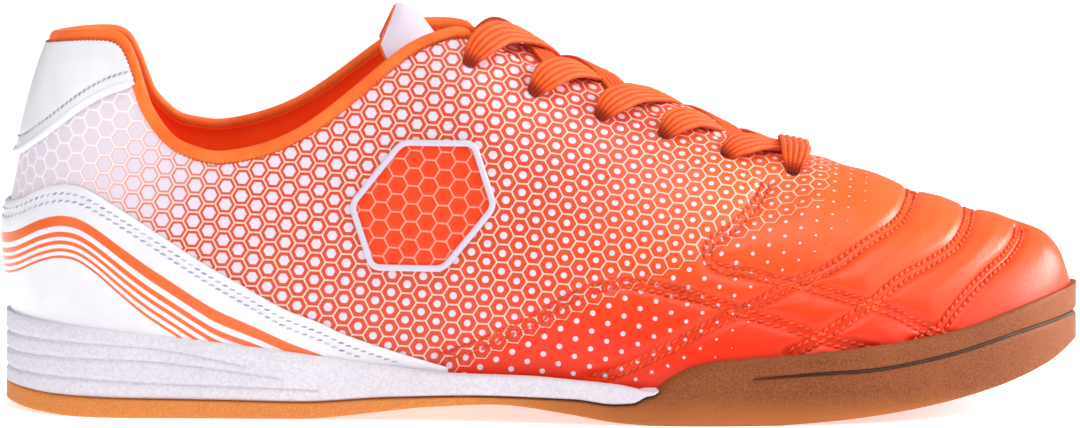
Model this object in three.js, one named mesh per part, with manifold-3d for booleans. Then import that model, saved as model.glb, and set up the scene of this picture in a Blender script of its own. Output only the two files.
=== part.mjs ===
import * as THREE from "three";
import { mergeVertices } from "three/addons/utils/BufferGeometryUtils.js";
import Module from "manifold-3d";

const wasm = await Module();
wasm.setup();

// Driving sizes in millimetres. The shoe lies along X with its toe at +X, its lateral side at -Y.
const LENGTH = 280; // over all, heel to toe
const BALL_WIDTH = 100; // of the sole at the ball
const TAB_HEIGHT = 100; // heel tab above the floor
const INSTEP_HEIGHT = 94; // crown of the instep above the floor
const HEEL_STACK = 24; // top of the midsole at the back of the heel
const CUP_HEIGHT = 18; // lip of the outsole at the ball
const TOE_SPRING = 17; // underside of the toe tip above the floor
const ARCH_RISE = 4.6; // underside of the waist above the floor
const HEEL_BOARD = 12; // foot bed above the floor, at the heel
const BALL_BOARD = 6; // foot bed above the underside, at the ball
const LIP = 2.4; // sole edge beyond the upper
const UPPER_WALL = 2;
const OVERLAY_WALL = 1;
const SEAM_RAISE = 2; // rolled seam of the heel panel
const SEAM_WIDTH = 2.6;
const BINDING_HEIGHT = 2.8; // rolled collar edge, seen from the side
const BINDING_OUT = 0.9; // beyond the upper's outside
const BINDING_IN = 0.7; // beyond the upper's inside
const INSOLE_THICK = 3;
const TONGUE_THICK = 4;
const TONGUE_DROP = 1.8; // between the upper's inside and the tongue
const LACE_WIDTH = 7.4;
const LACE_THICK = 1.7;
const HOLE = 3.6; // lace hole
const HOLE_INSET = 6.6; // hole centre from the throat edge
const GROOVE = 1; // width and depth of the side grooves
const GAP = 0.3; // between pieces that touch

// Facets
const STATIONS = 26;
const ROUND = 16;
const TONGUE_ROUND = 8;
const HOLE_ROUND = 8;
const TIP = 0.012; // share of a form's run that its blunt ends leave out
const LINE_PIECES = { collar: 30, foxing: 16, seam: 8, groove: 5, midsole: 30 };

const halfBall = BALL_WIDTH / 2;
const heelX = -LENGTH / 2;

// A smooth line through rows, without overshoot
function curve(rows, key, value) {
  const x = rows.map((row) => row[key]);
  const y = rows.map((row) => row[value]);
  const slope = y.slice(1).map((v, i) => (v - y[i]) / (x[i + 1] - x[i]));
  const tangent = y.map((_, i) => {
    if (i === 0) return slope[0];
    if (i === y.length - 1) return slope[i - 1];
    const before = slope[i - 1];
    const after = slope[i];
    return before * after <= 0 ? 0 : (2 * before * after) / (before + after);
  });
  return (at) => {
    const t = Math.min(Math.max(at, x[0]), x[x.length - 1]);
    let i = 0;
    while (i < x.length - 2 && t > x[i + 1]) i += 1;
    const run = x[i + 1] - x[i];
    const s = (t - x[i]) / run;
    const rest = 1 - s;
    return (
      y[i] * rest * rest * (1 + 2 * s) +
      tangent[i] * run * s * rest * rest +
      y[i + 1] * s * s * (3 - 2 * s) -
      tangent[i + 1] * run * s * s * rest
    );
  };
}

// Plan of the shoe: along is a share of the length, the others are shares of half the ball width
const PLAN = [
  { along: 0, axis: 0.04, lateral: 0.68, medial: 0.66 },
  { along: 0.16, axis: 0.04, lateral: 0.7, medial: 0.67 },
  { along: 0.3, axis: 0.03, lateral: 0.73, medial: 0.64 },
  { along: 0.43, axis: 0.03, lateral: 0.84, medial: 0.66 },
  { along: 0.55, axis: 0.04, lateral: 0.99, medial: 0.74 },
  { along: 0.66, axis: 0.06, lateral: 1.08, medial: 0.87 },
  { along: 0.76, axis: 0.09, lateral: 1.05, medial: 0.91 },
  { along: 0.87, axis: 0.14, lateral: 0.93, medial: 0.84 },
  { along: 1, axis: 0.22, lateral: 0.8, medial: 0.7 },
];
const HEEL_ROUND = { reach: 0.13, power: 2.1 };
const TOE_ROUND = { reach: 0.22, power: 2.1 };
const planAxis = curve(PLAN, "along", "axis");
const planLateral = curve(PLAN, "along", "lateral");
const planMedial = curve(PLAN, "along", "medial");

// How much of its width the plan keeps near its rounded ends
function endRound(along) {
  const heel = Math.max(0, 1 - along / HEEL_ROUND.reach);
  const toe = Math.max(0, 1 - (1 - along) / TOE_ROUND.reach);
  const back = (1 - heel ** HEEL_ROUND.power) ** (1 / HEEL_ROUND.power);
  const front = (1 - toe ** TOE_ROUND.power) ** (1 / TOE_ROUND.power);
  return Math.min(back, front);
}

// Profile of the last. crown is a share of the instep height, fullness is the power of the section's round,
// tuck is the share of the width that the section loses at its feather edge, ridge a share of half the ball.
const LAST = [
  { along: 0, crown: 1.24, fullness: 2.1, tuck: 0.05, ridge: 0.04 },
  { along: 0.28, crown: 1.22, fullness: 2.1, tuck: 0.06, ridge: 0.04 },
  { along: 0.36, crown: 1.15, fullness: 2.25, tuck: 0.08, ridge: 0.04 },
  { along: 0.425, crown: 1.115, fullness: 2.4, tuck: 0.1, ridge: 0.04 },
  { along: 0.5, crown: 1.0, fullness: 2, tuck: 0.1, ridge: 0.05 },
  { along: 0.555, crown: 0.92, fullness: 1.85, tuck: 0.08, ridge: 0.06 },
  { along: 0.63, crown: 0.83, fullness: 1.75, tuck: 0.05, ridge: 0.07 },
  { along: 0.7, crown: 0.735, fullness: 1.8, tuck: 0.03, ridge: 0.09 },
  { along: 0.75, crown: 0.695, fullness: 1.88, tuck: 0.03, ridge: 0.11 },
  { along: 0.79, crown: 0.66, fullness: 1.95, tuck: 0.03, ridge: 0.12 },
  { along: 0.87, crown: 0.575, fullness: 2.15, tuck: 0.03, ridge: 0.16 },
  { along: 0.94, crown: 0.51, fullness: 2.2, tuck: 0.03, ridge: 0.2 },
  { along: 0.972, crown: 0.475, fullness: 2.2, tuck: 0.03, ridge: 0.22 },
  { along: 0.99, crown: 0.42, fullness: 2.2, tuck: 0.03, ridge: 0.22 },
  { along: 1, crown: 0.33, fullness: 2.2, tuck: 0.03, ridge: 0.22 },
];
const lastCrown = curve(LAST, "along", "crown");
const lastFullness = curve(LAST, "along", "fullness");
const lastTuck = curve(LAST, "along", "tuck");
const lastRidge = curve(LAST, "along", "ridge");
const TUCK_HEIGHT = 0.35; // share of the section's height over which the tuck dies out

// Back of the heel: how far forward it lies at each height, as shares of the length and the tab height
const HEEL_BACK = [
  { up: 0.1, forward: 0.018 },
  { up: 0.25, forward: 0.009 },
  { up: 0.46, forward: 0 },
  { up: 0.6, forward: 0.009 },
  { up: 0.75, forward: 0.02 },
  { up: 0.88, forward: 0.033 },
  { up: 1, forward: 0.05 },
  { up: 1.2, forward: 0.085 },
];
const HEEL_BACK_REACH = 0.34; // share of the length over which the back's curve dies out
const HEEL_BACK_FADE = 1.5;
const heelForward = curve(HEEL_BACK, "up", "forward");

// Underside of the sole, foot bed and top of the sole's side. lift and top are shares of named heights.
const UNDERSIDE = [
  { along: 0, lift: 0.5 },
  { along: 0.025, lift: 0.2 },
  { along: 0.07, lift: 0 },
  { along: 0.27, lift: 0 },
  { along: 0.4, lift: 0.8 },
  { along: 0.46, lift: 1 },
  { along: 0.52, lift: 0.6 },
  { along: 0.57, lift: 0.12 },
  { along: 0.6, lift: 0 },
];
const TOE_RISE = [
  { along: 0.72, lift: 0 },
  { along: 0.78, lift: 0.07 },
  { along: 0.85, lift: 0.2 },
  { along: 0.92, lift: 0.43 },
  { along: 0.97, lift: 0.71 },
  { along: 1, lift: 1 },
];
const archLift = curve(UNDERSIDE, "along", "lift");
const toeLift = curve(TOE_RISE, "along", "lift");
const BOARD = [
  { along: 0, board: 1.12 },
  { along: 0.15, board: 1 },
  { along: 0.35, board: 0.84 },
  { along: 0.5, board: 0.73 },
  { along: 0.62, board: 0.54 },
];
const boardShare = curve(BOARD, "along", "board");
const FLAT = 0.66; // a place in the flat of the forefoot
const BALL = 0.62; // where the foot bed comes down to the ball
const BED_SPRING = 1.02; // the foot bed rises a little more at the toe than the underside

function underside(along) {
  return along < FLAT ? ARCH_RISE * archLift(along) : TOE_SPRING * toeLift(along);
}

function footBed(along) {
  if (along < BALL) return HEEL_BOARD * boardShare(along);
  return BALL_BOARD + TOE_SPRING * toeLift(along) * BED_SPRING;
}

const MIDSOLE_TOP = [
  { along: 0, top: 1.05 },
  { along: 0.03, top: 1.02 },
  { along: 0.125, top: 0.92 },
  { along: 0.23, top: 0.78 },
  { along: 0.295, top: 0.68 },
  { along: 0.36, top: 0.58 },
  { along: 0.425, top: 0.515 },
  { along: 0.49, top: 0.505 },
  { along: 0.53, top: 0.475 },
  { along: 0.574, top: 0.43 },
  { along: 0.596, top: 0.38 },
];
const MIDSOLE_FOOT = [
  { along: 0, foot: 0.29 },
  { along: 0.05, foot: 0.235 },
  { along: 0.2, foot: 0.205 },
  { along: 0.275, foot: 0.19 },
  { along: 0.36, foot: 0.25 },
  { along: 0.45, foot: 0.285 },
  { along: 0.53, foot: 0.27 },
  { along: 0.565, foot: 0.225 },
  { along: 0.585, foot: 0.24 },
  { along: 0.596, foot: 0.31 },
];
const CUP_TOP = [
  { along: 0.57, top: 0.44 },
  { along: 0.605, top: 0.5 },
  { along: 0.62, top: 0.67 },
  { along: 0.64, top: 0.84 },
  { along: 0.67, top: 0.94 },
  { along: 0.73, top: 1 },
  { along: 0.79, top: 1.08 },
  { along: 0.87, top: 1.22 },
  { along: 0.9, top: 1.32 },
  { along: 0.945, top: 1.52 },
  { along: 0.98, top: 1.67 },
  { along: 1, top: 1.74 },
];
const midsoleTop = curve(MIDSOLE_TOP, "along", "top");
const midsoleFoot = curve(MIDSOLE_FOOT, "along", "foot");
const cupTop = curve(CUP_TOP, "along", "top");

// A geometry's faces as a solid
function solid(geometry) {
  const bare = new THREE.BufferGeometry();
  bare.setAttribute("position", geometry.getAttribute("position"));
  bare.setIndex(geometry.index);
  const merged = mergeVertices(bare, 1e-4);
  return new wasm.Manifold(
    new wasm.Mesh({
      numProp: 3,
      vertProperties: new Float32Array(merged.attributes.position.array),
      triVerts: new Uint32Array(merged.index.array),
    }),
  );
}

// A closed skin over rings of as many points each. The end rings are closed across, point j to its mirror.
function loft(rings) {
  const count = rings[0].length;
  const positions = rings.flat().flatMap((p) => [p.x, p.y, p.z]);
  const index = [];
  const quad = (a, b, c, d) => index.push(a, c, b, a, d, c);
  for (let k = 0; k < rings.length - 1; k += 1) {
    for (let j = 0; j < count; j += 1) {
      const next = (j + 1) % count;
      quad(k * count + j, k * count + next, (k + 1) * count + next, (k + 1) * count + j);
    }
  }
  const last = (rings.length - 1) * count;
  for (let j = 0; j < count / 2 - 1; j += 1) {
    const other = count - 1 - j;
    quad(j, other, other - 1, j + 1);
    quad(last + j, last + j + 1, last + other - 1, last + other);
  }
  const geometry = new THREE.BufferGeometry();
  geometry.setAttribute("position", new THREE.Float32BufferAttribute(positions, 3));
  geometry.setIndex(index);
  return solid(geometry);
}

// Share of the length at a run of 0 to 1 whose steps shorten toward both ends, and back
function alongAt(run) {
  return (1 - Math.cos(Math.PI * run)) / 2;
}

function runAt(along) {
  return Math.acos(1 - 2 * along) / Math.PI;
}

// A point of the upper's outside: run goes from heel to toe, turn from the lateral feather edge at 0 over the
// crown at 0.5 to the medial one at 1.
function lastPoint(run, turn) {
  const along = alongAt(run);
  const axis = planAxis(along) * halfBall;
  const side = turn < 0.5 ? -planLateral(along) : planMedial(along);
  const width = (Math.abs(side) * halfBall - LIP) * endRound(along);
  const bed = footBed(along);
  const height = lastCrown(along) * INSTEP_HEIGHT - bed;
  const power = 2 / lastFullness(along);
  const angle = Math.PI * turn;
  const across = Math.abs(Math.cos(angle)) ** power;
  const up = Math.sin(angle) ** power;
  const tuck = 1 - lastTuck(along) * Math.max(0, 1 - up / TUCK_HEIGHT) ** 2;
  const lean = (lastRidge(along) * halfBall - axis) * up;
  const z = bed + height * up;
  const fade = Math.max(0, 1 - along / HEEL_BACK_REACH) ** HEEL_BACK_FADE;
  const forward = heelForward(z / TAB_HEIGHT) * LENGTH * fade;
  const x = heelX + along * (LENGTH - LIP) + forward;
  return new THREE.Vector3(x, axis + lean + Math.sign(side) * width * across * tuck, z);
}

// The same point, a distance out along the surface's normal
function lastOffset(run, turn, distance) {
  const step = 1e-3;
  const low = lastPoint(Math.max(run - step, 1e-4), turn);
  const high = lastPoint(Math.min(run + step, 1 - 1e-4), turn);
  const before = lastPoint(run, Math.max(turn - step, 0));
  const after = lastPoint(run, Math.min(turn + step, 1));
  const normal = high.sub(low).cross(after.sub(before)).normalize();
  return lastPoint(run, turn).addScaledVector(normal, distance);
}

// The last as a solid, grown by a distance, its underside lowered by a drop
function lastForm(distance, drop) {
  const rings = [];
  for (let k = 0; k <= STATIONS; k += 1) {
    const run = TIP + ((1 - 2 * TIP) * k) / STATIONS;
    const ring = [];
    for (let j = 0; j <= ROUND; j += 1) ring.push(lastOffset(run, j / ROUND, distance));
    const first = ring[0];
    const final = ring[ROUND];
    const floor = footBed(alongAt(run)) - drop;
    ring.unshift(new THREE.Vector3(first.x, first.y, floor));
    ring.push(new THREE.Vector3(final.x, final.y, floor));
    rings.push(ring);
  }
  return loft(rings);
}

// The sole's block, shrunk by a distance, from a lower line to an upper one, as far forward as an end
function soleForm(distance, lower, upper, end = 1, stations = STATIONS) {
  const rings = [];
  const inset = distance / LENGTH;
  const full = 1 - 2 * inset;
  const stop = Math.min(runAt(Math.min((end - inset) / full, 1)), 1 - TIP);
  for (let k = 0; k <= stations; k += 1) {
    const share = alongAt(TIP + ((stop - TIP) * k) / stations);
    const along = inset + full * share;
    const axis = planAxis(along) * halfBall;
    const round = endRound(share);
    const low = lower(along);
    const high = upper(along);
    const ring = [];
    const edge = (half, side, { up, out }) => {
      const reach = (half * halfBall - distance - out * BALL_WIDTH) * round;
      const x = heelX + along * LENGTH;
      ring.push(new THREE.Vector3(x, axis + side * reach, low + (high - low) * up));
    };
    for (const row of SOLE_SIDE) edge(planLateral(along), -1, row);
    for (const row of [...SOLE_SIDE].reverse()) edge(planMedial(along), 1, row);
    rings.push(ring);
  }
  return loft(rings);
}

// Side of the sole: up is a share of its height, out is how far it lies in, a share of the ball width
const SOLE_SIDE = [
  { up: 0, out: 0.012 },
  { up: 0.1, out: 0.002 },
  { up: 0.35, out: 0 },
  { up: 0.8, out: 0.003 },
  { up: 1, out: 0.012 },
];

// A point of the side view, from shares of the length and the tab height
function sidePoint([along, up]) {
  return new THREE.Vector2(heelX + along * LENGTH, up * TAB_HEIGHT);
}

function smooth(points, pieces) {
  return new THREE.SplineCurve(points).getPoints(pieces);
}

// A prism of a side view outline, across the shoe or over a part of its width
function sidePrism(points, from = -BALL_WIDTH, to = BALL_WIDTH, tilt = () => 0) {
  const geometry = new THREE.ExtrudeGeometry(new THREE.Shape(points), {
    depth: to - from,
    bevelEnabled: false,
  });
  geometry.rotateX(Math.PI / 2);
  geometry.translate(0, to, 0);
  const position = geometry.getAttribute("position");
  for (let i = 0; i < position.count; i += 1) {
    const rise = tilt((position.getX(i) - heelX) / LENGTH) * position.getY(i);
    position.setZ(i, position.getZ(i) + rise);
  }
  return solid(geometry);
}

// A prism of a plan outline
function planPrism(points, from, to) {
  const geometry = new THREE.ExtrudeGeometry(new THREE.Shape(points), {
    depth: to - from,
    bevelEnabled: false,
  });
  geometry.translate(0, 0, from);
  return solid(geometry);
}

// The outline of a strip of a width along a line
function strip(points, width) {
  const sides = [[], []];
  points.forEach((point, i) => {
    const before = points[Math.max(i - 1, 0)];
    const after = points[Math.min(i + 1, points.length - 1)];
    const normal = after.clone().sub(before).normalize();
    const out = new THREE.Vector2(-normal.y, normal.x).multiplyScalar(width / 2);
    sides[0].push(point.clone().add(out));
    sides[1].unshift(point.clone().sub(out));
  });
  return sides.flat();
}

const SKY = 2 * INSTEP_HEIGHT; // above every piece
const DEEP = -INSTEP_HEIGHT;
const outer = lastForm(0, 0);
const nest = lastForm(GAP, GAP);

// A skin over the upper, from the gap to a thickness above it
function skin(thickness) {
  return lastForm(GAP + thickness, 0).subtract(nest);
}

// Collar line from the back of the heel to the front of the collar, in shares of the length and tab height
const COLLAR = [
  [-0.02, 0.955],
  [0.02, 0.958],
  [0.045, 0.98],
  [0.085, 0.99],
  [0.107, 0.98],
  [0.118, 0.93],
  [0.126, 0.865],
  [0.135, 0.805],
  [0.155, 0.74],
  [0.178, 0.714],
  [0.205, 0.706],
  [0.25, 0.736],
  [0.294, 0.801],
  [0.36, 0.945],
  [0.385, 0.99],
  [0.41, 1.013],
  [0.427, 1.016],
  [0.443, 1.0],
];
const collarLine = smooth(COLLAR.map(sidePoint), LINE_PIECES.collar);

// The medial collar is the higher one beside the ankle, the lower one at the heel: rise for each millimetre of width
const COLLAR_TILT = [
  { along: 0, tilt: -0.05 },
  { along: 0.11, tilt: -0.05 },
  { along: 0.15, tilt: 0.02 },
  { along: 0.2, tilt: 0.06 },
  { along: 0.27, tilt: 0.075 },
  { along: 0.36, tilt: 0.08 },
  { along: 0.45, tilt: 0.05 },
];
const collarTilt = curve(COLLAR_TILT, "along", "tilt");

// What lies above the collar line, lowered by a distance
function aboveCollar(lower) {
  const line = collarLine.map((p) => new THREE.Vector2(p.x, p.y - lower));
  const back = line[0];
  const front = line[line.length - 1];
  line.push(new THREE.Vector2(front.x, SKY), new THREE.Vector2(back.x, SKY));
  return sidePrism(line, -BALL_WIDTH, BALL_WIDTH, collarTilt);
}

// The throat's reach to each side of the crown, as shares of the length and half the ball width
const THROAT = [
  { along: 0.36, lateral: 0.36, medial: 0.3 },
  { along: 0.44, lateral: 0.33, medial: 0.27 },
  { along: 0.5, lateral: 0.29, medial: 0.26 },
  { along: 0.58, lateral: 0.25, medial: 0.24 },
  { along: 0.66, lateral: 0.22, medial: 0.22 },
  { along: 0.71, lateral: 0.19, medial: 0.19 },
  { along: 0.738, lateral: 0.12, medial: 0.12 },
  { along: 0.746, lateral: 0.03, medial: 0.03 },
];

// Half the tongue's turn over the last, and how far under the upper it lies, a share of the tongue's own drop
const TONGUE = [
  { along: 0.354, turn: 0.2, drop: 1 },
  { along: 0.375, turn: 0.196, drop: 1.5 },
  { along: 0.406, turn: 0.192, drop: 2.5 },
  { along: 0.45, turn: 0.186, drop: 2.7 },
  { along: 0.5, turn: 0.18, drop: 2.2 },
  { along: 0.6, turn: 0.165, drop: 1.3 },
  { along: 0.7, turn: 0.15, drop: 0.6 },
  { along: 0.78, turn: 0.12, drop: 0.17 },
];
const throatReach = {
  lateral: curve(THROAT, "along", "lateral"),
  medial: curve(THROAT, "along", "medial"),
};
const EYELETS = [0.433, 0.4925, 0.5545, 0.613, 0.67, 0.733];

// A point of the plan, a share of half the ball width from the crown
function planPoint(along, share) {
  const y = (lastRidge(along) + share) * halfBall;
  return new THREE.Vector2(heelX + along * LENGTH, y);
}

function throatOutline() {
  const lateral = THROAT.map((row) => planPoint(row.along, -row.lateral));
  const medial = THROAT.map((row) => planPoint(row.along, row.medial));
  return [...lateral, ...medial.reverse()];
}
const INSIDE_LEVEL = INSTEP_HEIGHT / 4; // between the insole and the throat's edge
const throat = planPrism(throatOutline(), INSIDE_LEVEL, SKY);

// Where a plumb line at a plan point meets the upper's outside, and the normal there
const SEARCH = { from: 0.3, to: 0.7, steps: 300, edge: 0.05, halvings: 20 };

function onUpper(plan) {
  let best = { miss: Infinity };
  for (let i = 0; i <= SEARCH.steps; i += 1) {
    const run = SEARCH.from + ((SEARCH.to - SEARCH.from) * i) / SEARCH.steps;
    let low = SEARCH.edge;
    let high = 1 - SEARCH.edge;
    for (let n = 0; n < SEARCH.halvings; n += 1) {
      const middle = (low + high) / 2;
      if (lastPoint(run, middle).y < plan.y) low = middle;
      else high = middle;
    }
    const point = lastPoint(run, low);
    const miss = Math.abs(point.x - plan.x);
    if (miss < best.miss) best = { miss, point, run, turn: low };
  }
  const normal = lastOffset(best.run, best.turn, 1).sub(best.point).normalize();
  return { point: best.point, normal };
}

const THROAT_TAPER = 0.7; // in front of it the throat narrows and the holes don't

function holePlan(along, side) {
  const reach = side < 0 ? throatReach.lateral : throatReach.medial;
  const share = reach(Math.min(along, THROAT_TAPER)) + HOLE_INSET / halfBall;
  return planPoint(along, side * share);
}

function laceHole(along, side) {
  const { point, normal } = onUpper(holePlan(along, side));
  const geometry = new THREE.CylinderGeometry(HOLE / 2, HOLE / 2, UPPER_WALL * 4, HOLE_ROUND);
  const up = new THREE.Vector3(0, 1, 0);
  geometry.applyQuaternion(new THREE.Quaternion().setFromUnitVectors(up, normal));
  geometry.translate(point.x, point.y, point.z);
  return solid(geometry);
}

function makeUpper() {
  let upper = outer.subtract(lastForm(-UPPER_WALL, HEEL_BOARD / 2));
  upper = upper.subtract(aboveCollar(BINDING_HEIGHT + GAP));
  upper = upper.subtract(throat);
  for (const along of EYELETS) {
    for (const side of [-1, 1]) upper = upper.subtract(laceHole(along, side));
  }
  return upper;
}

// The rolled edge sits on the upper's rim and stands proud of it on both faces
function makeBinding() {
  const tube = lastForm(BINDING_OUT, 0).subtract(lastForm(-UPPER_WALL - BINDING_IN, LIP));
  return tube.intersect(aboveCollar(BINDING_HEIGHT)).subtract(aboveCollar(0)).subtract(throat);
}

function makeTongue() {
  const turnAt = curve(TONGUE, "along", "turn");
  const dropAt = curve(TONGUE, "along", "drop");
  const [start, end] = [TONGUE[0].along, TONGUE[TONGUE.length - 1].along];
  const rings = [];
  for (let k = 0; k <= ROUND; k += 1) {
    const along = start + ((end - start) * k) / ROUND;
    const face = UPPER_WALL + TONGUE_DROP * dropAt(along);
    const turn = (j) => 0.5 + turnAt(along) * ((2 * j) / TONGUE_ROUND - 1);
    const ring = [];
    for (let j = 0; j <= TONGUE_ROUND; j += 1) ring.push(lastOffset(runAt(along), turn(j), -face));
    for (let j = TONGUE_ROUND; j >= 0; j -= 1) {
      ring.push(lastOffset(runAt(along), turn(j), -face - TONGUE_THICK));
    }
    rings.push(ring);
  }
  return loft(rings);
}

// The insole is what the upper holds between the foot bed and its own top
function makeInsole() {
  const inside = lastForm(-UPPER_WALL - GAP, 0);
  const low = (along) => footBed(along) - HEEL_BOARD;
  return inside.intersect(soleForm(-LIP, low, (along) => footBed(along) + INSOLE_THICK));
}

// Midsole lines, and its side view grown by a distance
const midsoleLow = (along) => midsoleFoot(along) * HEEL_STACK;
const midsoleHigh = (along) => midsoleTop(along) * HEEL_STACK;
const MIDSOLE_END = MIDSOLE_TOP[MIDSOLE_TOP.length - 1].along;

function midsoleSide(grow) {
  const points = [];
  const steps = LINE_PIECES.midsole;
  const at = (i) => (MIDSOLE_END * i) / steps;
  for (let i = 0; i <= steps; i += 1) {
    points.push(new THREE.Vector2(heelX + at(i) * LENGTH, midsoleLow(at(i)) - grow));
  }
  points.push(new THREE.Vector2(heelX + MIDSOLE_END * LENGTH + grow, midsoleLow(MIDSOLE_END)));
  points.push(new THREE.Vector2(heelX + MIDSOLE_END * LENGTH + grow, midsoleHigh(MIDSOLE_END)));
  for (let i = steps; i >= 0; i -= 1) {
    points.push(new THREE.Vector2(heelX + at(i) * LENGTH, midsoleHigh(at(i)) + CUP_HEIGHT));
  }
  points[0].x -= LIP;
  points[points.length - 1].x -= LIP;
  return sidePrism(points);
}

// Side grooves, as shares of the length and of the named height that they follow
const MIDSOLE_GROOVES = [
  [[0.004, 0.83], [0.06, 0.81], [0.145, 0.75], [0.229, 0.56]],
  [[0.004, 0.64], [0.06, 0.64], [0.145, 0.61], [0.262, 0.435]],
  [[0.004, 0.45], [0.06, 0.425], [0.145, 0.38], [0.294, 0.315]],
];
const CUP_GROOVE = [
  [0.694, 0.68],
  [0.752, 0.74],
  [0.816, 0.79],
  [0.881, 0.945],
  [0.934, 1.14],
  [0.965, 1.24],
  [1.01, 1.36],
];

function sideGroove(line, height, rim) {
  const points = line.map(([along, up]) => new THREE.Vector2(heelX + along * LENGTH, up * height));
  return sidePrism(strip(smooth(points, LINE_PIECES.groove), GROOVE)).intersect(rim);
}

function makeMidsole() {
  const block = (distance) => soleForm(distance, midsoleLow, midsoleHigh, MIDSOLE_END, STATIONS / 2);
  let midsole = block(0);
  const low = (along) => midsoleLow(along) - GROOVE;
  const high = (along) => midsoleHigh(along) + GROOVE;
  const rim = soleForm(-GROOVE, low, high).subtract(soleForm(GROOVE, low, high));
  for (const line of MIDSOLE_GROOVES) midsole = midsole.subtract(sideGroove(line, HEEL_STACK, rim));
  return midsole.subtract(nest);
}

// Tread: cross grooves under the heel and the forefoot, places as shares of the length
const TREAD = [
  { from: 0.05, to: 0.25, grooves: 5 },
  { from: 0.62, to: 0.93, grooves: 8 },
];
const TREAD_WIDTH = 1.6;
const TREAD_DEPTH = 1.2;
const TREAD_EDGE = 9; // of plain rubber round the tread

function makeTread() {
  const deep = (along) => underside(along) + TREAD_DEPTH;
  const bed = soleForm(TREAD_EDGE, (along) => underside(along) - 2 * TREAD_DEPTH, deep);
  const grooves = TREAD.flatMap(({ from, to, grooves: count }) =>
    Array.from({ length: count }, (_, i) => {
      const x = heelX + (from + ((to - from) * i) / (count - 1)) * LENGTH;
      const line = [-1, 0, 1].map(
        (side) => new THREE.Vector2(x - TREAD_EDGE * side * side, side * BALL_WIDTH),
      );
      return planPrism(strip(line, TREAD_WIDTH), DEEP, SKY);
    }),
  );
  return wasm.Manifold.union(grooves).intersect(bed);
}

// Top of the outsole: inside the midsole behind its tip, the cup's lip in front of it
function cupLine(along) {
  const rise = cupTop(along) * CUP_HEIGHT;
  return along < CUP_TOP[0].along ? midsoleLow(along) + GROOVE : rise;
}

function makeOutsole() {
  const rim = soleForm(-GROOVE, () => 0, () => SKY).subtract(soleForm(GROOVE, () => 0, () => SKY));
  return soleForm(0, underside, cupLine)
    .subtract(midsoleSide(GAP))
    .subtract(nest)
    .subtract(sideGroove(CUP_GROOVE, CUP_HEIGHT, rim))
    .subtract(makeTread());
}

// Overlay edges in the side view, as shares of the length and the tab height
const FOXING_EDGE = [
  [-0.01, 0.53],
  [0.012, 0.548],
  [0.0375, 0.586],
  [0.059, 0.6],
  [0.08, 0.588],
  [0.115, 0.531],
  [0.148, 0.472],
  [0.1875, 0.401],
  [0.224, 0.343],
  [0.262, 0.284],
  [0.294, 0.25],
  [0.317, 0.22],
  [0.36, 0.18],
  [0.403, 0.145],
  [0.42, 0.132],
];
const PANEL_SEAM = [
  [-0.01, 0.65],
  [0.0107, 0.66],
  [0.0375, 0.717],
  [0.069, 0.79],
  [0.0904, 0.829],
  [0.108, 0.85],
  [0.135, 0.87],
];

// What lies under a side view line
function under(line) {
  const back = new THREE.Vector2(line[0].x, DEEP);
  const front = new THREE.Vector2(line[line.length - 1].x, DEEP);
  return sidePrism([...line, front, back]);
}

function makeFoxing() {
  const back = FOXING_EDGE[0][0];
  const front = FOXING_EDGE[FOXING_EDGE.length - 1][0];
  const steps = LINE_PIECES.foxing;
  const foot = Array.from({ length: steps + 1 }, (_, i) => {
    const along = back + ((front - back) * i) / steps;
    return new THREE.Vector2(heelX + along * LENGTH, midsoleHigh(along) + GAP);
  });
  const edge = smooth(FOXING_EDGE.map(sidePoint), LINE_PIECES.foxing);
  return skin(OVERLAY_WALL).intersect(under(edge)).subtract(under(foot));
}

function makeHeelPanel() {
  const seam = smooth(PANEL_SEAM.map(sidePoint), LINE_PIECES.seam);
  const back = new THREE.Vector2(seam[0].x, SKY);
  const front = new THREE.Vector2(seam[seam.length - 1].x, SKY);
  const panel = skin(OVERLAY_WALL).intersect(sidePrism([...seam, front, back]));
  const roll = skin(SEAM_RAISE).intersect(sidePrism(strip(seam, SEAM_WIDTH)));
  return panel.add(roll).subtract(aboveCollar(BINDING_HEIGHT + GAP));
}

// Side badge: a slanted six-sided ring, its centre and size in shares of the length and the tab height
const BADGE = { along: 0.39, up: 0.555, radius: 0.069, stroke: 0.0075, slant: 0.24 };

function hexagon(radius) {
  return Array.from({ length: 6 }, (_, i) => {
    const angle = (Math.PI / 3) * i;
    const rise = radius * Math.sin(angle);
    const x = heelX + BADGE.along * LENGTH + radius * Math.cos(angle) + BADGE.slant * rise;
    return new THREE.Vector2(x, BADGE.up * TAB_HEIGHT + rise);
  });
}

function makeBadge(from, to) {
  const radius = BADGE.radius * LENGTH;
  const ring = sidePrism(hexagon(radius), from, to);
  const hole = sidePrism(hexagon(radius - BADGE.stroke * LENGTH), from, to);
  return skin(OVERLAY_WALL).intersect(ring.subtract(hole));
}

// Flat lace: from each hole over the throat's edge to the middle, one hole further on, and on under the next
// crossing. The lowest pair of holes has a bar straight across.
const PAST_MIDDLE = 0.6; // how far a crossing runs on past the middle, as a share of the way to it
const PAST_MIDDLE_LOWEST = 0.1;

function makeLaces() {
  const bands = [];
  const band = (start, end) => {
    const foot = onUpper(start).point.z - LACE_WIDTH / 3;
    bands.push(planPrism(strip([start, end], LACE_WIDTH), foot, SKY));
  };
  const lowest = EYELETS.length - 1;
  for (const side of [-1, 1]) {
    EYELETS.slice(0, -1).forEach((along, i) => {
      const start = holePlan(along, side);
      const middle = planPoint(EYELETS[i + 1], 0);
      const onward = i + 1 === lowest ? PAST_MIDDLE_LOWEST : PAST_MIDDLE;
      band(start, middle.clone().sub(start).multiplyScalar(onward).add(middle));
    });
  }
  band(holePlan(EYELETS[lowest], -1), holePlan(EYELETS[lowest], 1));
  return lastForm(GAP + LACE_THICK, 0)
    .subtract(nest)
    .intersect(wasm.Manifold.union(bands))
    .subtract(aboveCollar(BINDING_HEIGHT + GAP));
}

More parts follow.
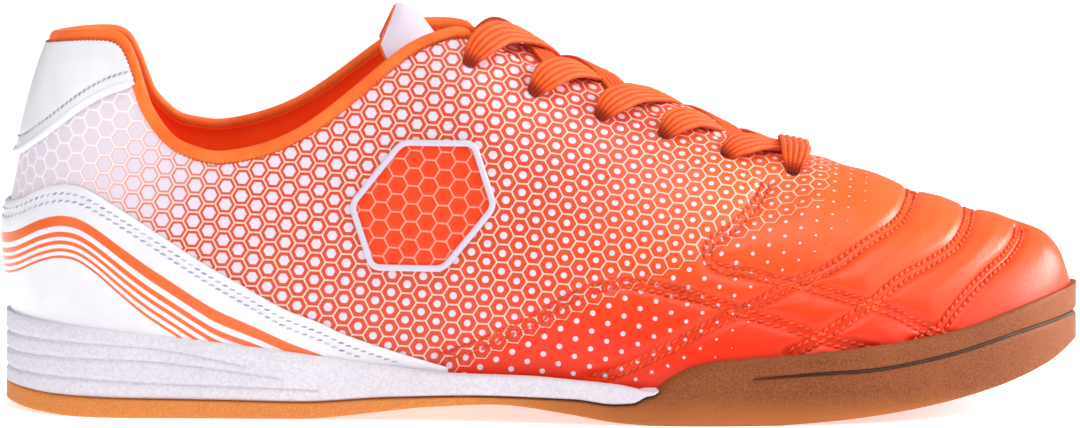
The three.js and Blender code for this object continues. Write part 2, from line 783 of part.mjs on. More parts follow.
const WHITE = 0xebebf5;
const ORANGE = 0xff6432;
const PALE_ORANGE = 0xff823c;
const LACE_ORANGE = 0xf55f23;
const GUM = 0xbe7341;
const shoe = new THREE.Group();

function add(name, body, color, roughness) {
  const mesh = body.getMesh();
  const geometry = new THREE.BufferGeometry();
  geometry.setAttribute("position", new THREE.BufferAttribute(mesh.vertProperties, 3));
  geometry.setIndex(new THREE.BufferAttribute(mesh.triVerts, 1));
  geometry.computeVertexNormals();
  const material = new THREE.MeshStandardMaterial({ color, roughness, metalness: 0 });
  const piece = new THREE.Mesh(geometry, material);
  piece.name = name;
  shoe.add(piece);
}

add("outsole", makeOutsole(), GUM, 0.5);
add("midsole", makeMidsole(), WHITE, 0.6);
add("insole", makeInsole(), ORANGE, 0.8);
add("upper", makeUpper(), ORANGE, 0.45);
add("tongue", makeTongue(), WHITE, 0.6);
add("collar_binding", makeBinding(), PALE_ORANGE, 0.6);
add("heel_panel", makeHeelPanel(), WHITE, 0.4);
add("heel_foxing", makeFoxing(), WHITE, 0.4);
add("side_badge_lateral", makeBadge(-BALL_WIDTH, 0), WHITE, 0.4);
add("side_badge_medial", makeBadge(0, BALL_WIDTH), WHITE, 0.4);
add("lace_crossings", makeLaces(), LACE_ORANGE, 0.7);

// The origin lies under the middle of the shoe's box
const bounds = new THREE.Box3().setFromObject(shoe);
const middle = bounds.getCenter(new THREE.Vector3());
shoe.children.forEach((piece) => piece.position.set(-middle.x, -middle.y, -bounds.min.z));
export default shoe;
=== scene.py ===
"""An indoor soccer shoe, dressed as panels, thread, lace, foam and rubber over its own last."""

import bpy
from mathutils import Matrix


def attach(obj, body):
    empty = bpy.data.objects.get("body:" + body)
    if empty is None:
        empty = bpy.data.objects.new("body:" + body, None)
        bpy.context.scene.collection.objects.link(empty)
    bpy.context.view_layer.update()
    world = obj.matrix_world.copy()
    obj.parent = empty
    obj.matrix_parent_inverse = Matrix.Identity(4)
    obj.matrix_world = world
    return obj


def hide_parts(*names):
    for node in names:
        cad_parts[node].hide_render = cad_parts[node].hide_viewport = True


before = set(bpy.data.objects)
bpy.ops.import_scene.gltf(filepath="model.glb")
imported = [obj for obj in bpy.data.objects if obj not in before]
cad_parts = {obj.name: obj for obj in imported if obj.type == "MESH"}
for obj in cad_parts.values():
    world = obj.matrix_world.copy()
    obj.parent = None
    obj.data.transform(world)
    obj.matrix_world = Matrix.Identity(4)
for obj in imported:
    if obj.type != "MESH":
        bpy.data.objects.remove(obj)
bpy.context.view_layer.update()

import math
from functools import partial

import bmesh
import bpy
import numpy as np
from bpy.props import FloatProperty, FloatVectorProperty, IntProperty, PointerProperty
from mathutils import Vector
from mathutils.kdtree import KDTree

bl_info = {
    "name": "Indoor Soccer Shoe",
    "version": (1, 0, 0),
    "blender": (4, 5, 0),
    "location": "View3D > Sidebar > Shoe",
    "description": "Makes the panels, seams, lace, lining and sole of a low indoor soccer shoe",
    "category": "Add Mesh",
}
MM = 0.001  # a millimetre in metres

# Sizes of the shoe's construction in millimetres. Its tables hold shares of them.
LENGTH = 280.0
BALL_WIDTH = 100.0
HALF_BALL = BALL_WIDTH / 2
TAB_HEIGHT = 100.0
INSTEP_HEIGHT = 94.0
HEEL_STACK = 24.0
CUP_HEIGHT = 18.0
TOE_SPRING = 17.0
ARCH_RISE = 4.6
HEEL_BOARD = 12.0
BALL_BOARD = 6.0
LIP = 2.4
UPPER_WALL = 2.0
FIT = 0.3  # gap between pieces that touch
HEEL_X = -LENGTH / 2
CENTRE = np.array((0.173, 0.308, 0.0))  # moves the last's own frame to the middle of the shoe's box
PLAN = (  # along, axis, lateral, medial
    (0, 0.04, 0.68, 0.66),
    (0.16, 0.04, 0.7, 0.67),
    (0.3, 0.03, 0.73, 0.64),
    (0.43, 0.03, 0.84, 0.66),
    (0.55, 0.04, 0.99, 0.74),
    (0.66, 0.06, 1.08, 0.87),
    (0.76, 0.09, 1.05, 0.91),
    (0.87, 0.14, 0.93, 0.84),
    (1, 0.22, 0.8, 0.7),
)
HEEL_ROUND = (0.13, 2.1)
TOE_ROUND = (0.22, 2.1)
LAST = (  # along, crown, fullness, tuck, ridge
    (0, 1.24, 2.1, 0.05, 0.04),
    (0.28, 1.22, 2.1, 0.06, 0.04),
    (0.36, 1.15, 2.25, 0.08, 0.04),
    (0.425, 1.115, 2.4, 0.1, 0.04),
    (0.5, 1.0, 2.0, 0.1, 0.05),
    (0.555, 0.92, 1.85, 0.08, 0.06),
    (0.63, 0.83, 1.75, 0.05, 0.07),
    (0.7, 0.735, 1.8, 0.03, 0.09),
    (0.75, 0.695, 1.88, 0.03, 0.11),
    (0.79, 0.66, 1.95, 0.03, 0.12),
    (0.87, 0.575, 2.15, 0.03, 0.16),
    (0.94, 0.51, 2.2, 0.03, 0.2),
    (0.972, 0.475, 2.2, 0.03, 0.22),
    (0.99, 0.42, 2.2, 0.03, 0.22),
    (1, 0.33, 2.2, 0.03, 0.22),
)
TUCK_HEIGHT = 0.35
HEEL_BACK = (  # up, forward
    (0.1, 0.018),
    (0.25, 0.009),
    (0.46, 0),
    (0.6, 0.009),
    (0.75, 0.02),
    (0.88, 0.033),
    (1, 0.05),
    (1.2, 0.085),
)
HEEL_BACK_REACH = 0.34
UNDERSIDE = (
    (0, 0.5), (0.025, 0.2), (0.07, 0), (0.27, 0), (0.4, 0.8), (0.46, 1), (0.52, 0.6), (0.57, 0.12),
    (0.6, 0),
)
TOE_RISE = ((0.72, 0), (0.78, 0.07), (0.85, 0.2), (0.92, 0.43), (0.97, 0.71), (1, 1))
BOARD = ((0, 1.12), (0.15, 1), (0.35, 0.84), (0.5, 0.73), (0.62, 0.54))
COLLAR = (  # along, up
    (-0.02, 0.955), (0.02, 0.958), (0.045, 0.98), (0.085, 0.99), (0.107, 0.98), (0.118, 0.93),
    (0.126, 0.865), (0.135, 0.805), (0.155, 0.74), (0.178, 0.714), (0.205, 0.706), (0.25, 0.736),
    (0.294, 0.801), (0.36, 0.945), (0.385, 0.99), (0.41, 1.013), (0.427, 1.016), (0.443, 1.0),
)
COLLAR_TILT = (
    (0, -0.05), (0.11, -0.05), (0.15, 0.02), (0.2, 0.06), (0.27, 0.075), (0.36, 0.08), (0.45, 0.05),
)
THROAT = (  # along, lateral, medial
    (0.36, 0.36, 0.3),
    (0.44, 0.33, 0.27),
    (0.5, 0.29, 0.26),
    (0.58, 0.25, 0.24),
    (0.66, 0.22, 0.22),
    (0.71, 0.19, 0.19),
    (0.738, 0.12, 0.12),
    (0.746, 0.03, 0.03),
)


def curve(rows, column=1):
    """A smooth line through a table's rows that never overshoots, as a function of the first column."""
    table = np.array(rows, dtype=float)
    x, y = table[:, 0], table[:, column]
    run = np.diff(x)
    slope = np.diff(y) / run
    tangent = np.empty_like(y)
    tangent[0], tangent[-1] = slope[0], slope[-1]
    before, after = slope[:-1], slope[1:]
    both = before + after
    safe = np.where(np.abs(both) < 1e-12, 1.0, both)
    tangent[1:-1] = np.where(before * after <= 0, 0.0, 2 * before * after / safe)

    def line(at):
        t = np.clip(at, x[0], x[-1])
        i = np.clip(np.searchsorted(x, t, side="left") - 1, 0, len(x) - 2)
        s = (t - x[i]) / run[i]
        rest = 1 - s
        return (
            y[i] * rest**2 * (1 + 2 * s)
            + tangent[i] * run[i] * s * rest**2
            + y[i + 1] * s**2 * (3 - 2 * s)
            - tangent[i + 1] * run[i] * s**2 * rest
        )

    return line


plan_axis, plan_lateral, plan_medial = (curve(PLAN, n) for n in (1, 2, 3))
last_crown, last_fullness, last_tuck, last_ridge = (curve(LAST, n) for n in (1, 2, 3, 4))
heel_forward = curve(HEEL_BACK)
arch_lift = curve(UNDERSIDE)
toe_lift = curve(TOE_RISE)
board_share = curve(BOARD)
collar_tilt = curve(COLLAR_TILT)
throat_lateral, throat_medial = curve(THROAT, 1), curve(THROAT, 2)


def end_round(along):
    """Share of its width that the plan keeps near its rounded ends."""
    heel = np.maximum(0, 1 - along / HEEL_ROUND[0])
    toe = np.maximum(0, 1 - (1 - along) / TOE_ROUND[0])
    back = (1 - heel ** HEEL_ROUND[1]) ** (1 / HEEL_ROUND[1])
    front = (1 - toe ** TOE_ROUND[1]) ** (1 / TOE_ROUND[1])
    return np.minimum(back, front)


def underside(along):
    return np.where(along < 0.66, ARCH_RISE * arch_lift(along), TOE_SPRING * toe_lift(along))


def foot_bed(along):
    back = along < BOARD[-1][0]
    front = BALL_BOARD + TOE_SPRING * toe_lift(along) * 1.02
    return np.where(back, HEEL_BOARD * board_share(along), front)


def along_at(run):
    return (1 - np.cos(np.pi * run)) / 2


def run_at(along):
    return np.arccos(1 - 2 * np.clip(along, 0, 1)) / np.pi


def last_point(run, turn):
    """The upper's outside: run goes from heel 0 to toe 1, turn from the lateral feather edge 0 to the other 1."""
    run, turn = np.broadcast_arrays(np.asarray(run, float), np.asarray(turn, float))
    along = along_at(run)
    axis = plan_axis(along) * HALF_BALL
    side = np.where(turn < 0.5, -1.0, 1.0)
    half = np.where(turn < 0.5, plan_lateral(along), plan_medial(along))
    width = (half * HALF_BALL - LIP) * end_round(along)
    bed = foot_bed(along)
    height = last_crown(along) * INSTEP_HEIGHT - bed
    power = 2 / last_fullness(along)
    angle = np.pi * turn
    across = np.abs(np.cos(angle)) ** power
    up = np.clip(np.sin(angle), 0, 1) ** power
    tuck = 1 - last_tuck(along) * np.maximum(0, 1 - up / TUCK_HEIGHT) ** 2
    lean = (last_ridge(along) * HALF_BALL - axis) * up
    z = bed + height * up
    fade = np.maximum(0, 1 - along / HEEL_BACK_REACH) ** 1.5
    forward = heel_forward(z / TAB_HEIGHT) * LENGTH * fade
    x = HEEL_X + along * (LENGTH - LIP) + forward
    return np.stack((x, axis + lean + side * width * across * tuck, z), axis=-1) + CENTRE


def last_normal(run, turn):
    run, turn = np.broadcast_arrays(np.asarray(run, float), np.asarray(turn, float))
    step = 1e-3
    before, after = np.maximum(run - step, 1e-4), np.minimum(run + step, 1 - 1e-4)
    ahead = last_point(after, turn) - last_point(before, turn)
    over = last_point(run, np.minimum(turn + step, 1)) - last_point(run, np.maximum(turn - step, 0))
    normal = np.cross(ahead, over)
    normal[..., 1] = np.where((run <= 0) | (run >= 1), 0, normal[..., 1])
    return normal / np.linalg.norm(normal, axis=-1, keepdims=True)


def catmull(points, pieces):
    """A smooth line through control points, with a number of pieces over the whole."""
    points = np.asarray(points, float)
    share = np.linspace(0, len(points) - 1, pieces + 1)
    i = np.minimum(share.astype(int), len(points) - 2)
    t = (share - i)[:, None]
    p0, p1 = points[np.where(i == 0, i, i - 1)], points[i]
    p2, p3 = points[i + 1], points[np.where(i > len(points) - 3, len(points) - 1, i + 2)]
    v0, v1 = (p2 - p0) / 2, (p3 - p1) / 2
    return (2 * p1 - 2 * p2 + v0 + v1) * t**3 + (-3 * p1 + 3 * p2 - 2 * v0 - v1) * t**2 + v0 * t + p1


def side_points(rows):
    """Side view points in millimetres, from shares of the length and the heel tab's height."""
    rows = np.asarray(rows, float)
    return np.stack((HEEL_X + rows[:, 0] * LENGTH, rows[:, 1] * TAB_HEIGHT), axis=-1) + CENTRE[[0, 2]]


def height_line(points):
    """The height of a side view line at each x."""
    return lambda x: np.interp(x, points[:, 0], points[:, 1])


def along_of(x):
    return (x - CENTRE[0] - HEEL_X) / LENGTH


def turn_where(run, side, removed):
    """The turn on one side of the last, from the feather edge up, where a test of the point first holds."""
    low, high = np.zeros_like(run), np.full_like(run, 0.5)
    for _ in range(26):
        middle = (low + high) / 2
        over = removed(last_point(run, middle if side < 0 else 1 - middle))
        high = np.where(over, middle, high)
        low = np.where(over, low, middle)
    edge = (low + high) / 2
    return edge if side < 0 else 1 - edge


def unit(vectors):
    length = np.linalg.norm(vectors, axis=-1, keepdims=True)
    return vectors / np.where(length < 1e-9, 1, length)


class Skin:
    """The points, faces and point values of one piece while it is put together, in millimetres."""

    def __init__(self):
        self.points, self.faces, self.values, self.count = [], [], {}, 0

    def grid(self, points, **values):
        """Adds a grid of points with their values and gives the grid of their numbers."""
        rows, columns = points.shape[:2]
        index = np.arange(rows * columns).reshape(rows, columns) + self.count
        self.points.append(points.reshape(-1, 3))
        for name, value in values.items():
            held = self.values.setdefault(name, [])
            held.append((self.count, np.broadcast_to(value, (rows, columns)).reshape(-1)))
        self.count += rows * columns
        return index

    def quads(self, index, flip=False):
        """Faces between the rows and columns of a grid of point numbers."""
        quads = np.stack((index[:-1, :-1], index[1:, :-1], index[1:, 1:], index[:-1, 1:]), axis=-1)
        quads = quads.reshape(-1, 4)[:, ::-1 if flip else 1]
        self.faces.extend(quads.tolist())

    def bridge(self, fine, coarse, step, keep=None):
        """Faces between a row of points and one that has a point for every few of them."""
        for k in range(len(coarse) - 1):
            if keep is None or keep[k * step]:
                part = fine[k * step : (k + 1) * step + 1].tolist()
                self.faces.append(part + [int(coarse[k + 1]), int(coarse[k])])

    def sheet(self, outside, inside):
        """Faces of a closed sheet between two grids of point numbers: both sides and the four edges."""
        self.quads(outside)
        self.quads(inside, flip=True)
        self.quads(np.stack((inside[0], outside[0])))
        self.quads(np.stack((outside[-1], inside[-1])))
        self.quads(np.stack((outside[:, 0], inside[:, 0])))
        self.quads(np.stack((inside[:, -1], outside[:, -1])))

    def tube(self, rings, closed=False, **values):
        """Adds rings of points joined into a tube, open ends closed by a face."""
        index = self.grid(rings, **values)
        around = np.concatenate((index, index[:, :1]), axis=1)
        if closed:
            around = np.concatenate((around, around[:1]))
        self.quads(around)
        if not closed:
            self.faces.extend((index[0].tolist(), index[-1][::-1].tolist()))

    def piece(self, name, material, slot, weld=1e-3, sharp=50):
        """Makes the Blender object, joins points that coincide and sets the shading."""
        mesh = bpy.data.meshes.new(name)
        points = np.concatenate(self.points) * MM
        mesh.from_pydata(points.tolist(), [], self.faces)
        for value_name, held in self.values.items():
            value = np.zeros(len(points), np.float32)
            for start, part in held:
                value[start : start + len(part)] = part
            mesh.attributes.new(value_name, "FLOAT", "POINT").data.foreach_set("value", value)
        work = bmesh.new()
        work.from_mesh(mesh)
        if weld:
            bmesh.ops.remove_doubles(work, verts=work.verts, dist=weld * MM)
            bmesh.ops.dissolve_degenerate(work, edges=work.edges, dist=weld * MM / 10)
        bmesh.ops.recalc_face_normals(work, faces=work.faces)
        work.to_mesh(mesh)
        work.free()
        mesh.shade_smooth()
        if sharp:
            mesh.set_sharp_from_angle(angle=math.radians(sharp))
        mesh.materials.append(material)
        made = bpy.data.objects.new(name, mesh)
        bpy.context.scene.collection.objects.link(made)
        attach(made, "root")
        return made


def sweep(path, across, up, section):
    """Rings of a section along a path. Its columns are millimetres across and up."""
    return path[:, None] + across[:, None] * section[:, :1] + up[:, None] * section[:, 1:]


def oval(count, wide, high):
    """The section of a cord as points round it."""
    angle = np.linspace(0, 2 * np.pi, count, endpoint=False)
    return np.stack((np.cos(angle) * wide / 2, np.sin(angle) * high / 2), axis=-1)


TAPER_POINTS = 3  # points over which a cord's end comes to its full size


def end_taper(count, least):
    """Share of its full size that a cord keeps at each of its points, rounding off both ends."""
    number = np.arange(count)
    return np.sqrt(np.clip(np.minimum(number, number[::-1]) / TAPER_POINTS, least, 1))[:, None]


def travelled(points, axis=0):
    """Millimetres run along one axis of a line or a grid of points, from its start."""
    steps = np.linalg.norm(np.diff(points, axis=axis), axis=-1)
    start = np.zeros_like(np.take(points[..., 0], [0], axis))
    return np.concatenate((start, np.cumsum(steps, axis=axis)), axis=axis)


def resample(points, spacing, *others):
    """Even steps along a line of points, and other columns at the same steps."""
    run = travelled(points)
    count = max(int(round(run[-1] / spacing)), 2)
    at = np.linspace(0, run[-1], count + 1)
    return [np.stack([np.interp(at, run, column) for column in line.T], -1) for line in (points, *others)]


# Edges of the upper
COLLAR_LINE = catmull(side_points(COLLAR), 400)
collar_height = height_line(COLLAR_LINE)
COLLAR_END = COLLAR_LINE[-1, 0]
THROAT_FRONT = THROAT[-1][0]
BINDING_HEIGHT = 2.8
BINDING_OUT = 0.9
BINDING_IN = 0.7
RUN_THROAT = float(run_at(np.float64(THROAT_FRONT * LENGTH / (LENGTH - LIP))))


def collar_at(lower):
    """The collar line's height at a place, lowered by a distance, the medial side the higher one."""
    return lambda x, y: collar_height(x) + collar_tilt(along_of(x)) * (y - CENTRE[1]) - lower


def past_rim(lower):
    """A test of points: in the throat, or above the collar line lowered by a distance."""

    def test(points):
        x, y, z = (points[..., n] for n in range(3))
        along = along_of(x)
        off = (y - CENTRE[1]) / HALF_BALL - last_ridge(along)
        between = (off > -throat_lateral(along)) & (off < throat_medial(along))
        in_throat = (along > THROAT[0][0]) & (along < THROAT_FRONT) & between
        return in_throat | ((x <= COLLAR_END) & (z > collar_at(lower)(x, y)))

    return test


# Double rows of stitching that quilt the vamp, in the last's share of length and its turn
QUILT_LINES = {
    "eyestay": (
        (0.716, 0.35), (0.705, 0.3), (0.683, 0.25), (0.663, 0.22), (0.66, 0.2), (0.672, 0.187),
        (0.7, 0.187), (0.73, 0.178), (0.76, 0.168), (0.8, 0.148), (0.835, 0.124), (0.867, 0.085),
        (0.884, 0.066),
    ),
    "waist": (
        (0.41, 0.012), (0.45, 0.026), (0.493, 0.062), (0.535, 0.106), (0.557, 0.124), (0.58, 0.138),
        (0.615, 0.145), (0.645, 0.145), (0.675, 0.138), (0.696, 0.131), (0.73, 0.116), (0.76, 0.096),
        (0.795, 0.075), (0.812, 0.063),
    ),
    "ball": (
        (0.551, 0.017), (0.58, 0.035), (0.622, 0.074), (0.664, 0.112), (0.7, 0.141), (0.74, 0.176),
        (0.772, 0.2), (0.804, 0.248), (0.837, 0.318), (0.85, 0.4), (0.854, 0.5),
    ),
    "toe": (
        (0.736, 0.071), (0.761, 0.09), (0.795, 0.123), (0.816, 0.148), (0.845, 0.195), (0.87, 0.233),
        (0.893, 0.29), (0.905, 0.38), (0.908, 0.5),
    ),
    "tip": (
        (0.852, 0.064), (0.875, 0.082), (0.891, 0.12), (0.921, 0.202), (0.942, 0.271), (0.953, 0.36),
        (0.955, 0.44),
    ),
}
SEAM_SPACING = 0.5  # millimetres between the points that a seam is worked out at
ROW_HALF = 1.0  # from a quilting seam's middle to each of its two rows


def seam_on_last(rows, side, pieces=120):
    """A seam's points and the last's normals there, on the lateral side (-1) or the medial one (1)."""
    line = catmull(rows, pieces)
    run = run_at(line[:, 0])
    turn = line[:, 1] if side < 0 else 1 - line[:, 1]
    return resample(last_point(run, turn), SEAM_SPACING, last_normal(run, turn))


def distance_to(points, lines):
    """Distance of each point from the nearest point of some lines."""
    targets = np.concatenate(lines)
    tree = KDTree(len(targets))
    for number, target in enumerate(targets):
        tree.insert(target, number)
    tree.balance()
    flat = points.reshape(-1, 3)
    return np.array([tree.find(point)[2] for point in flat]).reshape(points.shape[:-1])


def bump(value, low, high):
    """0 below low, 1 above high and a smooth step between them."""
    t = np.clip((value - low) / (high - low), 0, 1)
    return t * t * (3 - 2 * t)


# Soft troughs along lines over the upper, with their depth and half width in millimetres
CREASES = (
    {"line": ((0.735, 0.3), (0.745, 0.4), (0.752, 0.5)), "depth": 0.7, "width": 4},
    {"line": ((0.775, 0.24), (0.785, 0.36), (0.79, 0.5)), "depth": 0.7, "width": 5},
    {"line": ((0.58, 0.1), (0.62, 0.13), (0.65, 0.17)), "depth": 0.4, "width": 5},
    {"line": ((0.5, 0.1), (0.535, 0.17), (0.55, 0.24)), "depth": 0.45, "width": 6},
    {"line": ((0.3, 0.22), (0.34, 0.28), (0.37, 0.33)), "depth": 0.6, "width": 6},
)
PUFF_REACH = 7.0  # the padding stands out fully beyond about this distance from a seam
ROW_WIDTH = 1.1  # half width of the dent along a row of stitches


def upper_relief(points, run, turn, sizes):
    """How far the upper's face stands out of the last: the quilting, its seams and soft creases."""
    half_turn = np.minimum(turn, 1 - turn)
    seams = [seam_on_last(rows, side)[0] for rows in QUILT_LINES.values() for side in (-1, 1)]
    away = distance_to(points, seams)
    vamp = bump(along_at(run), 0.56, 0.7) * bump(half_turn, 0.0, 0.06)
    vamp *= 1 - 0.45 * bump(half_turn, 0.3, 0.5)
    relief = sizes.quilt_puff / MM * vamp * (1 - np.exp(-((away / PUFF_REACH) ** 2)))
    relief -= sizes.quilt_depth / MM * np.exp(-(((away - ROW_HALF) / ROW_WIDTH) ** 2))
    for crease in CREASES:
        lines = [seam_on_last(crease["line"], side, 24)[0] for side in (-1, 1)]
        relief -= crease["depth"] * np.exp(-((distance_to(points, lines) / crease["width"]) ** 2))
    return relief


RUN_STEPS = (224, 112)  # behind and in front of the throat's end, both multiples of INSIDE_STEP
TURN_STEPS = 116
INSIDE_STEP = 4  # the inside has a point for every few of the outside
UPPER_RIM = BINDING_HEIGHT + FIT  # the collar's rim lies this far under the binding's top


def upper_sides(lower, run_steps=RUN_STEPS, turn_steps=TURN_STEPS):
    """For each side: its runs, the turns from the feather edge to the rim, and which runs have a rim."""
    back = np.linspace(0, RUN_THROAT, run_steps[0] + 1)
    front = np.linspace(RUN_THROAT, 1, run_steps[1] + 1)[1:]
    run = np.concatenate((back, front))
    open_rim = run < RUN_THROAT - 1e-6
    share = np.linspace(0, 1, turn_steps + 1)
    for side, start in ((-1, 0.0), (1, 1.0)):
        rim = np.where(open_rim, turn_where(run, side, past_rim(lower)), 0.5)
        turn = start + (rim - start)[:, None] * share
        yield side, np.repeat(run[:, None], turn_steps + 1, axis=1), turn, open_rim


HEEL_WRAP = -112.0  # behind this x the print runs on round the heel


def wrapped_x(face):
    """The x of points on the last's runs, carried on round the heel by their distance over the ground."""
    run = travelled(face[..., :2])
    start = (face[..., 0] > HEEL_WRAP).argmax(axis=0)[None]
    here = np.arange(len(face))[:, None]
    back = np.take_along_axis(face[..., 0], start, 0) - np.take_along_axis(run, start, 0) + run
    return np.where(here < start, back, face[..., 0])


def make_upper(sizes, material):
    """The upper's shell: a fine outside with its relief, a coarser inside, and the edges between them."""
    skin = Skin()
    for side, run, turn, open_rim in upper_sides(UPPER_RIM):
        face, normal = last_point(run, turn), last_normal(run, turn)
        outside = face + normal * upper_relief(face, run, turn, sizes)[..., None]
        inside = face - normal * UPPER_WALL
        values = {"hole": from_hole(face), "ring": ring_share(face)}
        fine = skin.grid(outside, across=wrapped_x(face), arc=travelled(face, 1), **values)
        coarse = skin.grid(inside[::INSIDE_STEP, ::INSIDE_STEP])
        skin.quads(fine, flip=side > 0)
        skin.quads(coarse, flip=side < 0)
        skin.bridge(fine[:, 0], coarse[:, 0], INSIDE_STEP)
        skin.bridge(fine[:, -1], coarse[:, -1], INSIDE_STEP, keep=open_rim)
    made = skin.piece("upper_shell", material, "orange_leather")
    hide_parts("upper")


# Lace holes
EYELETS = (0.433, 0.4925, 0.5545, 0.613, 0.67, 0.733)
HOLE = 3.6
HOLE_INSET = 6.6
THROAT_TAPER = 0.7


def plan_place(along, share):
    """The point and normal of the last under a plan place, a share of half the ball from the crown."""
    x = HEEL_X + along * LENGTH
    y = (last_ridge(along) + share) * HALF_BALL
    run = np.linspace(0.3, 0.7, 1201)
    low, high = np.full_like(run, 0.05), np.full_like(run, 0.95)
    for _ in range(24):
        middle = (low + high) / 2
        under = last_point(run, middle)[..., 1] - CENTRE[1] < y
        low, high = np.where(under, middle, low), np.where(under, high, middle)
    miss = np.abs(last_point(run, low)[..., 0] - CENTRE[0] - x)
    best = int(np.argmin(miss))
    return last_point(run[best], low[best]), last_normal(run[best], low[best])


def hole_share(along, side):
    """How far a lace hole lies from the crown, a share of half the ball width."""
    reach = throat_lateral if side < 0 else throat_medial
    return side * (float(reach(min(along, THROAT_TAPER))) + HOLE_INSET / HALF_BALL)


BADGE = {"along": 0.39, "up": 0.555, "radius": 0.069, "stroke": 0.006, "slant": 0.24}


def ring_share(points):
    """Share of the way from the side ring's middle to its cord, where the cells are embossed."""
    up = points[..., 2] - CENTRE[2] - BADGE["up"] * TAB_HEIGHT
    ahead = points[..., 0] - CENTRE[0] - HEEL_X - BADGE["along"] * LENGTH - BADGE["slant"] * up
    reach = np.zeros_like(up)
    for angle in np.pi / 3 * (np.arange(6) + 0.5):
        reach = np.maximum(reach, ahead * np.cos(angle) + up * np.sin(angle))
    return reach / ((BADGE["radius"] - BADGE["stroke"] / 2) * LENGTH * np.cos(np.pi / 6))


def from_hole(points):
    """Millimetres from the nearest lace hole's middle."""
    away = np.full(points.shape[:-1], np.inf)
    for along in EYELETS:
        for side in (-1, 1):
            centre, _ = plan_place(along, hole_share(along, side))
            away = np.minimum(away, np.linalg.norm(points - centre, axis=-1))
    return away


# Edges of the heel's overlays, seen from the side, in shares of the length and the tab height
FOXING_EDGE = (
    (-0.01, 0.53), (0.012, 0.548), (0.0375, 0.586), (0.059, 0.6), (0.08, 0.588), (0.115, 0.531),
    (0.148, 0.472), (0.1875, 0.401), (0.224, 0.343), (0.262, 0.284), (0.294, 0.25), (0.317, 0.22),
    (0.36, 0.18), (0.403, 0.145), (0.42, 0.132),
)
PANEL_SEAM = (
    (-0.01, 0.65), (0.0107, 0.66), (0.0375, 0.717), (0.069, 0.79), (0.0904, 0.829), (0.108, 0.85),
    (0.135, 0.87),
)

# Edges of the sole, seen from the side, in shares of the length and of the heel stack or the cup's height
MIDSOLE_TOP = (
    (0, 1.05), (0.03, 1.02), (0.125, 0.92), (0.23, 0.78), (0.295, 0.68), (0.36, 0.58), (0.425, 0.515),
    (0.49, 0.505), (0.53, 0.475), (0.574, 0.43), (0.596, 0.38),
)
MIDSOLE_FOOT = (
    (0, 0.29), (0.05, 0.235), (0.2, 0.205), (0.275, 0.19), (0.36, 0.25), (0.45, 0.285), (0.53, 0.27),
    (0.565, 0.225), (0.585, 0.24), (0.596, 0.31),
)
CUP_TOP = (
    (0.57, 0.44), (0.605, 0.5), (0.62, 0.67), (0.64, 0.84), (0.67, 0.94), (0.73, 1), (0.79, 1.08),
    (0.87, 1.22), (0.9, 1.32), (0.945, 1.52), (0.98, 1.67), (1, 1.74),
)
midsole_top, midsole_foot, cup_top = (curve(rows) for rows in (MIDSOLE_TOP, MIDSOLE_FOOT, CUP_TOP))
foxing_height = height_line(catmull(side_points(FOXING_EDGE), 200))
panel_height = height_line(catmull(side_points(PANEL_SEAM), 100))
OVERLAY_GAP = FIT
OVERLAY_WALL = 1.0


def sole_top(x):
    return midsole_top(along_of(x)) * HEEL_STACK


def round_heel(front, steps):
    """Runs from the lateral side's front place round the heel to the medial side's, with the side of each."""
    run = np.linspace(-1, 1, 2 * steps + 1)
    run *= np.where(run <= 0, *run_at(np.broadcast_to(front, 2)))
    return np.abs(run), np.where(run <= 0, -1, 1)


def turns_round(run, side, removed):
    """The turns of turn_where for runs that go round the heel from the lateral to the medial side."""
    turn = np.zeros_like(run)
    for one in (-1, 1):
        turn[side == one] = turn_where(run[side == one], one, removed)
    return turn


def band_on_last(front, low, high, steps, rows):
    """Runs and turns of a band round the heel between two side view heights that depend on x and y. front is
    the share of length where it ends on both sides, or on the lateral and on the medial one."""
    run, side = round_heel(front, steps)
    first, last = (
        turns_round(run, side, lambda p: p[..., 2] > height(p[..., 0], p[..., 1])) for height in (low, high)
    )
    turn = first[:, None] + (last - first)[:, None] * np.linspace(0, 1, rows + 1)
    return np.repeat(run[:, None], rows + 1, axis=1), turn


def rounded_sheet(skin, run, turn, edge_round, relief, **values):
    """An overlay on the last, closed all round, whose edges are rounded off over a width in millimetres."""
    face, normal = last_point(run, turn), last_normal(run, turn)
    up, along = travelled(face, 1), travelled(face, 0)
    from_edge = np.minimum(np.minimum(up, up[:, -1:] - up), np.minimum(along, along[-1:] - along))
    inward = 1 - np.clip(from_edge / edge_round, 0, 1)
    lift = OVERLAY_GAP + OVERLAY_WALL * np.sqrt(1 - inward**2) + relief
    outside = skin.grid(face + normal * lift[..., None], **values)
    skin.sheet(outside, skin.grid(face + normal * (OVERLAY_GAP - 0.02)))


FOXING_SEAM = 3.4  # the double seam's middle lies this far under the foxing's top edge, seen from the side
STRIPES_WIDEN = 0.2  # how much wider the stripes lie where the foxing sweeps down


def make_foxing(material):
    """The lower heel overlay, its sunk seam, and the drop under its edge that the stripes are printed by."""
    skin = Skin()
    run, turn = band_on_last(
        FOXING_EDGE[-1][0] - 0.003,
        lambda x, y: sole_top(x) - 1.5,
        lambda x, y: np.maximum(foxing_height(x), sole_top(x) - 0.5),
        150,
        44,
    )
    x, _, z = np.moveaxis(last_point(run, turn), -1, 0)
    drop = foxing_height(x) - z
    seam = -0.22 * np.exp(-(((drop - FOXING_SEAM) / 0.9) ** 2))
    widen = STRIPES_WIDEN * bump(along_of(x), 0.05, 0.14) * (1 - bump(along_of(x), 0.19, 0.27))
    rounded_sheet(skin, run, turn, 1.1, relief=seam, drop=drop * (1 - widen))
    made = skin.piece("heel_foxing_leather", material, "white_leather", weld=0)
    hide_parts("heel_foxing")


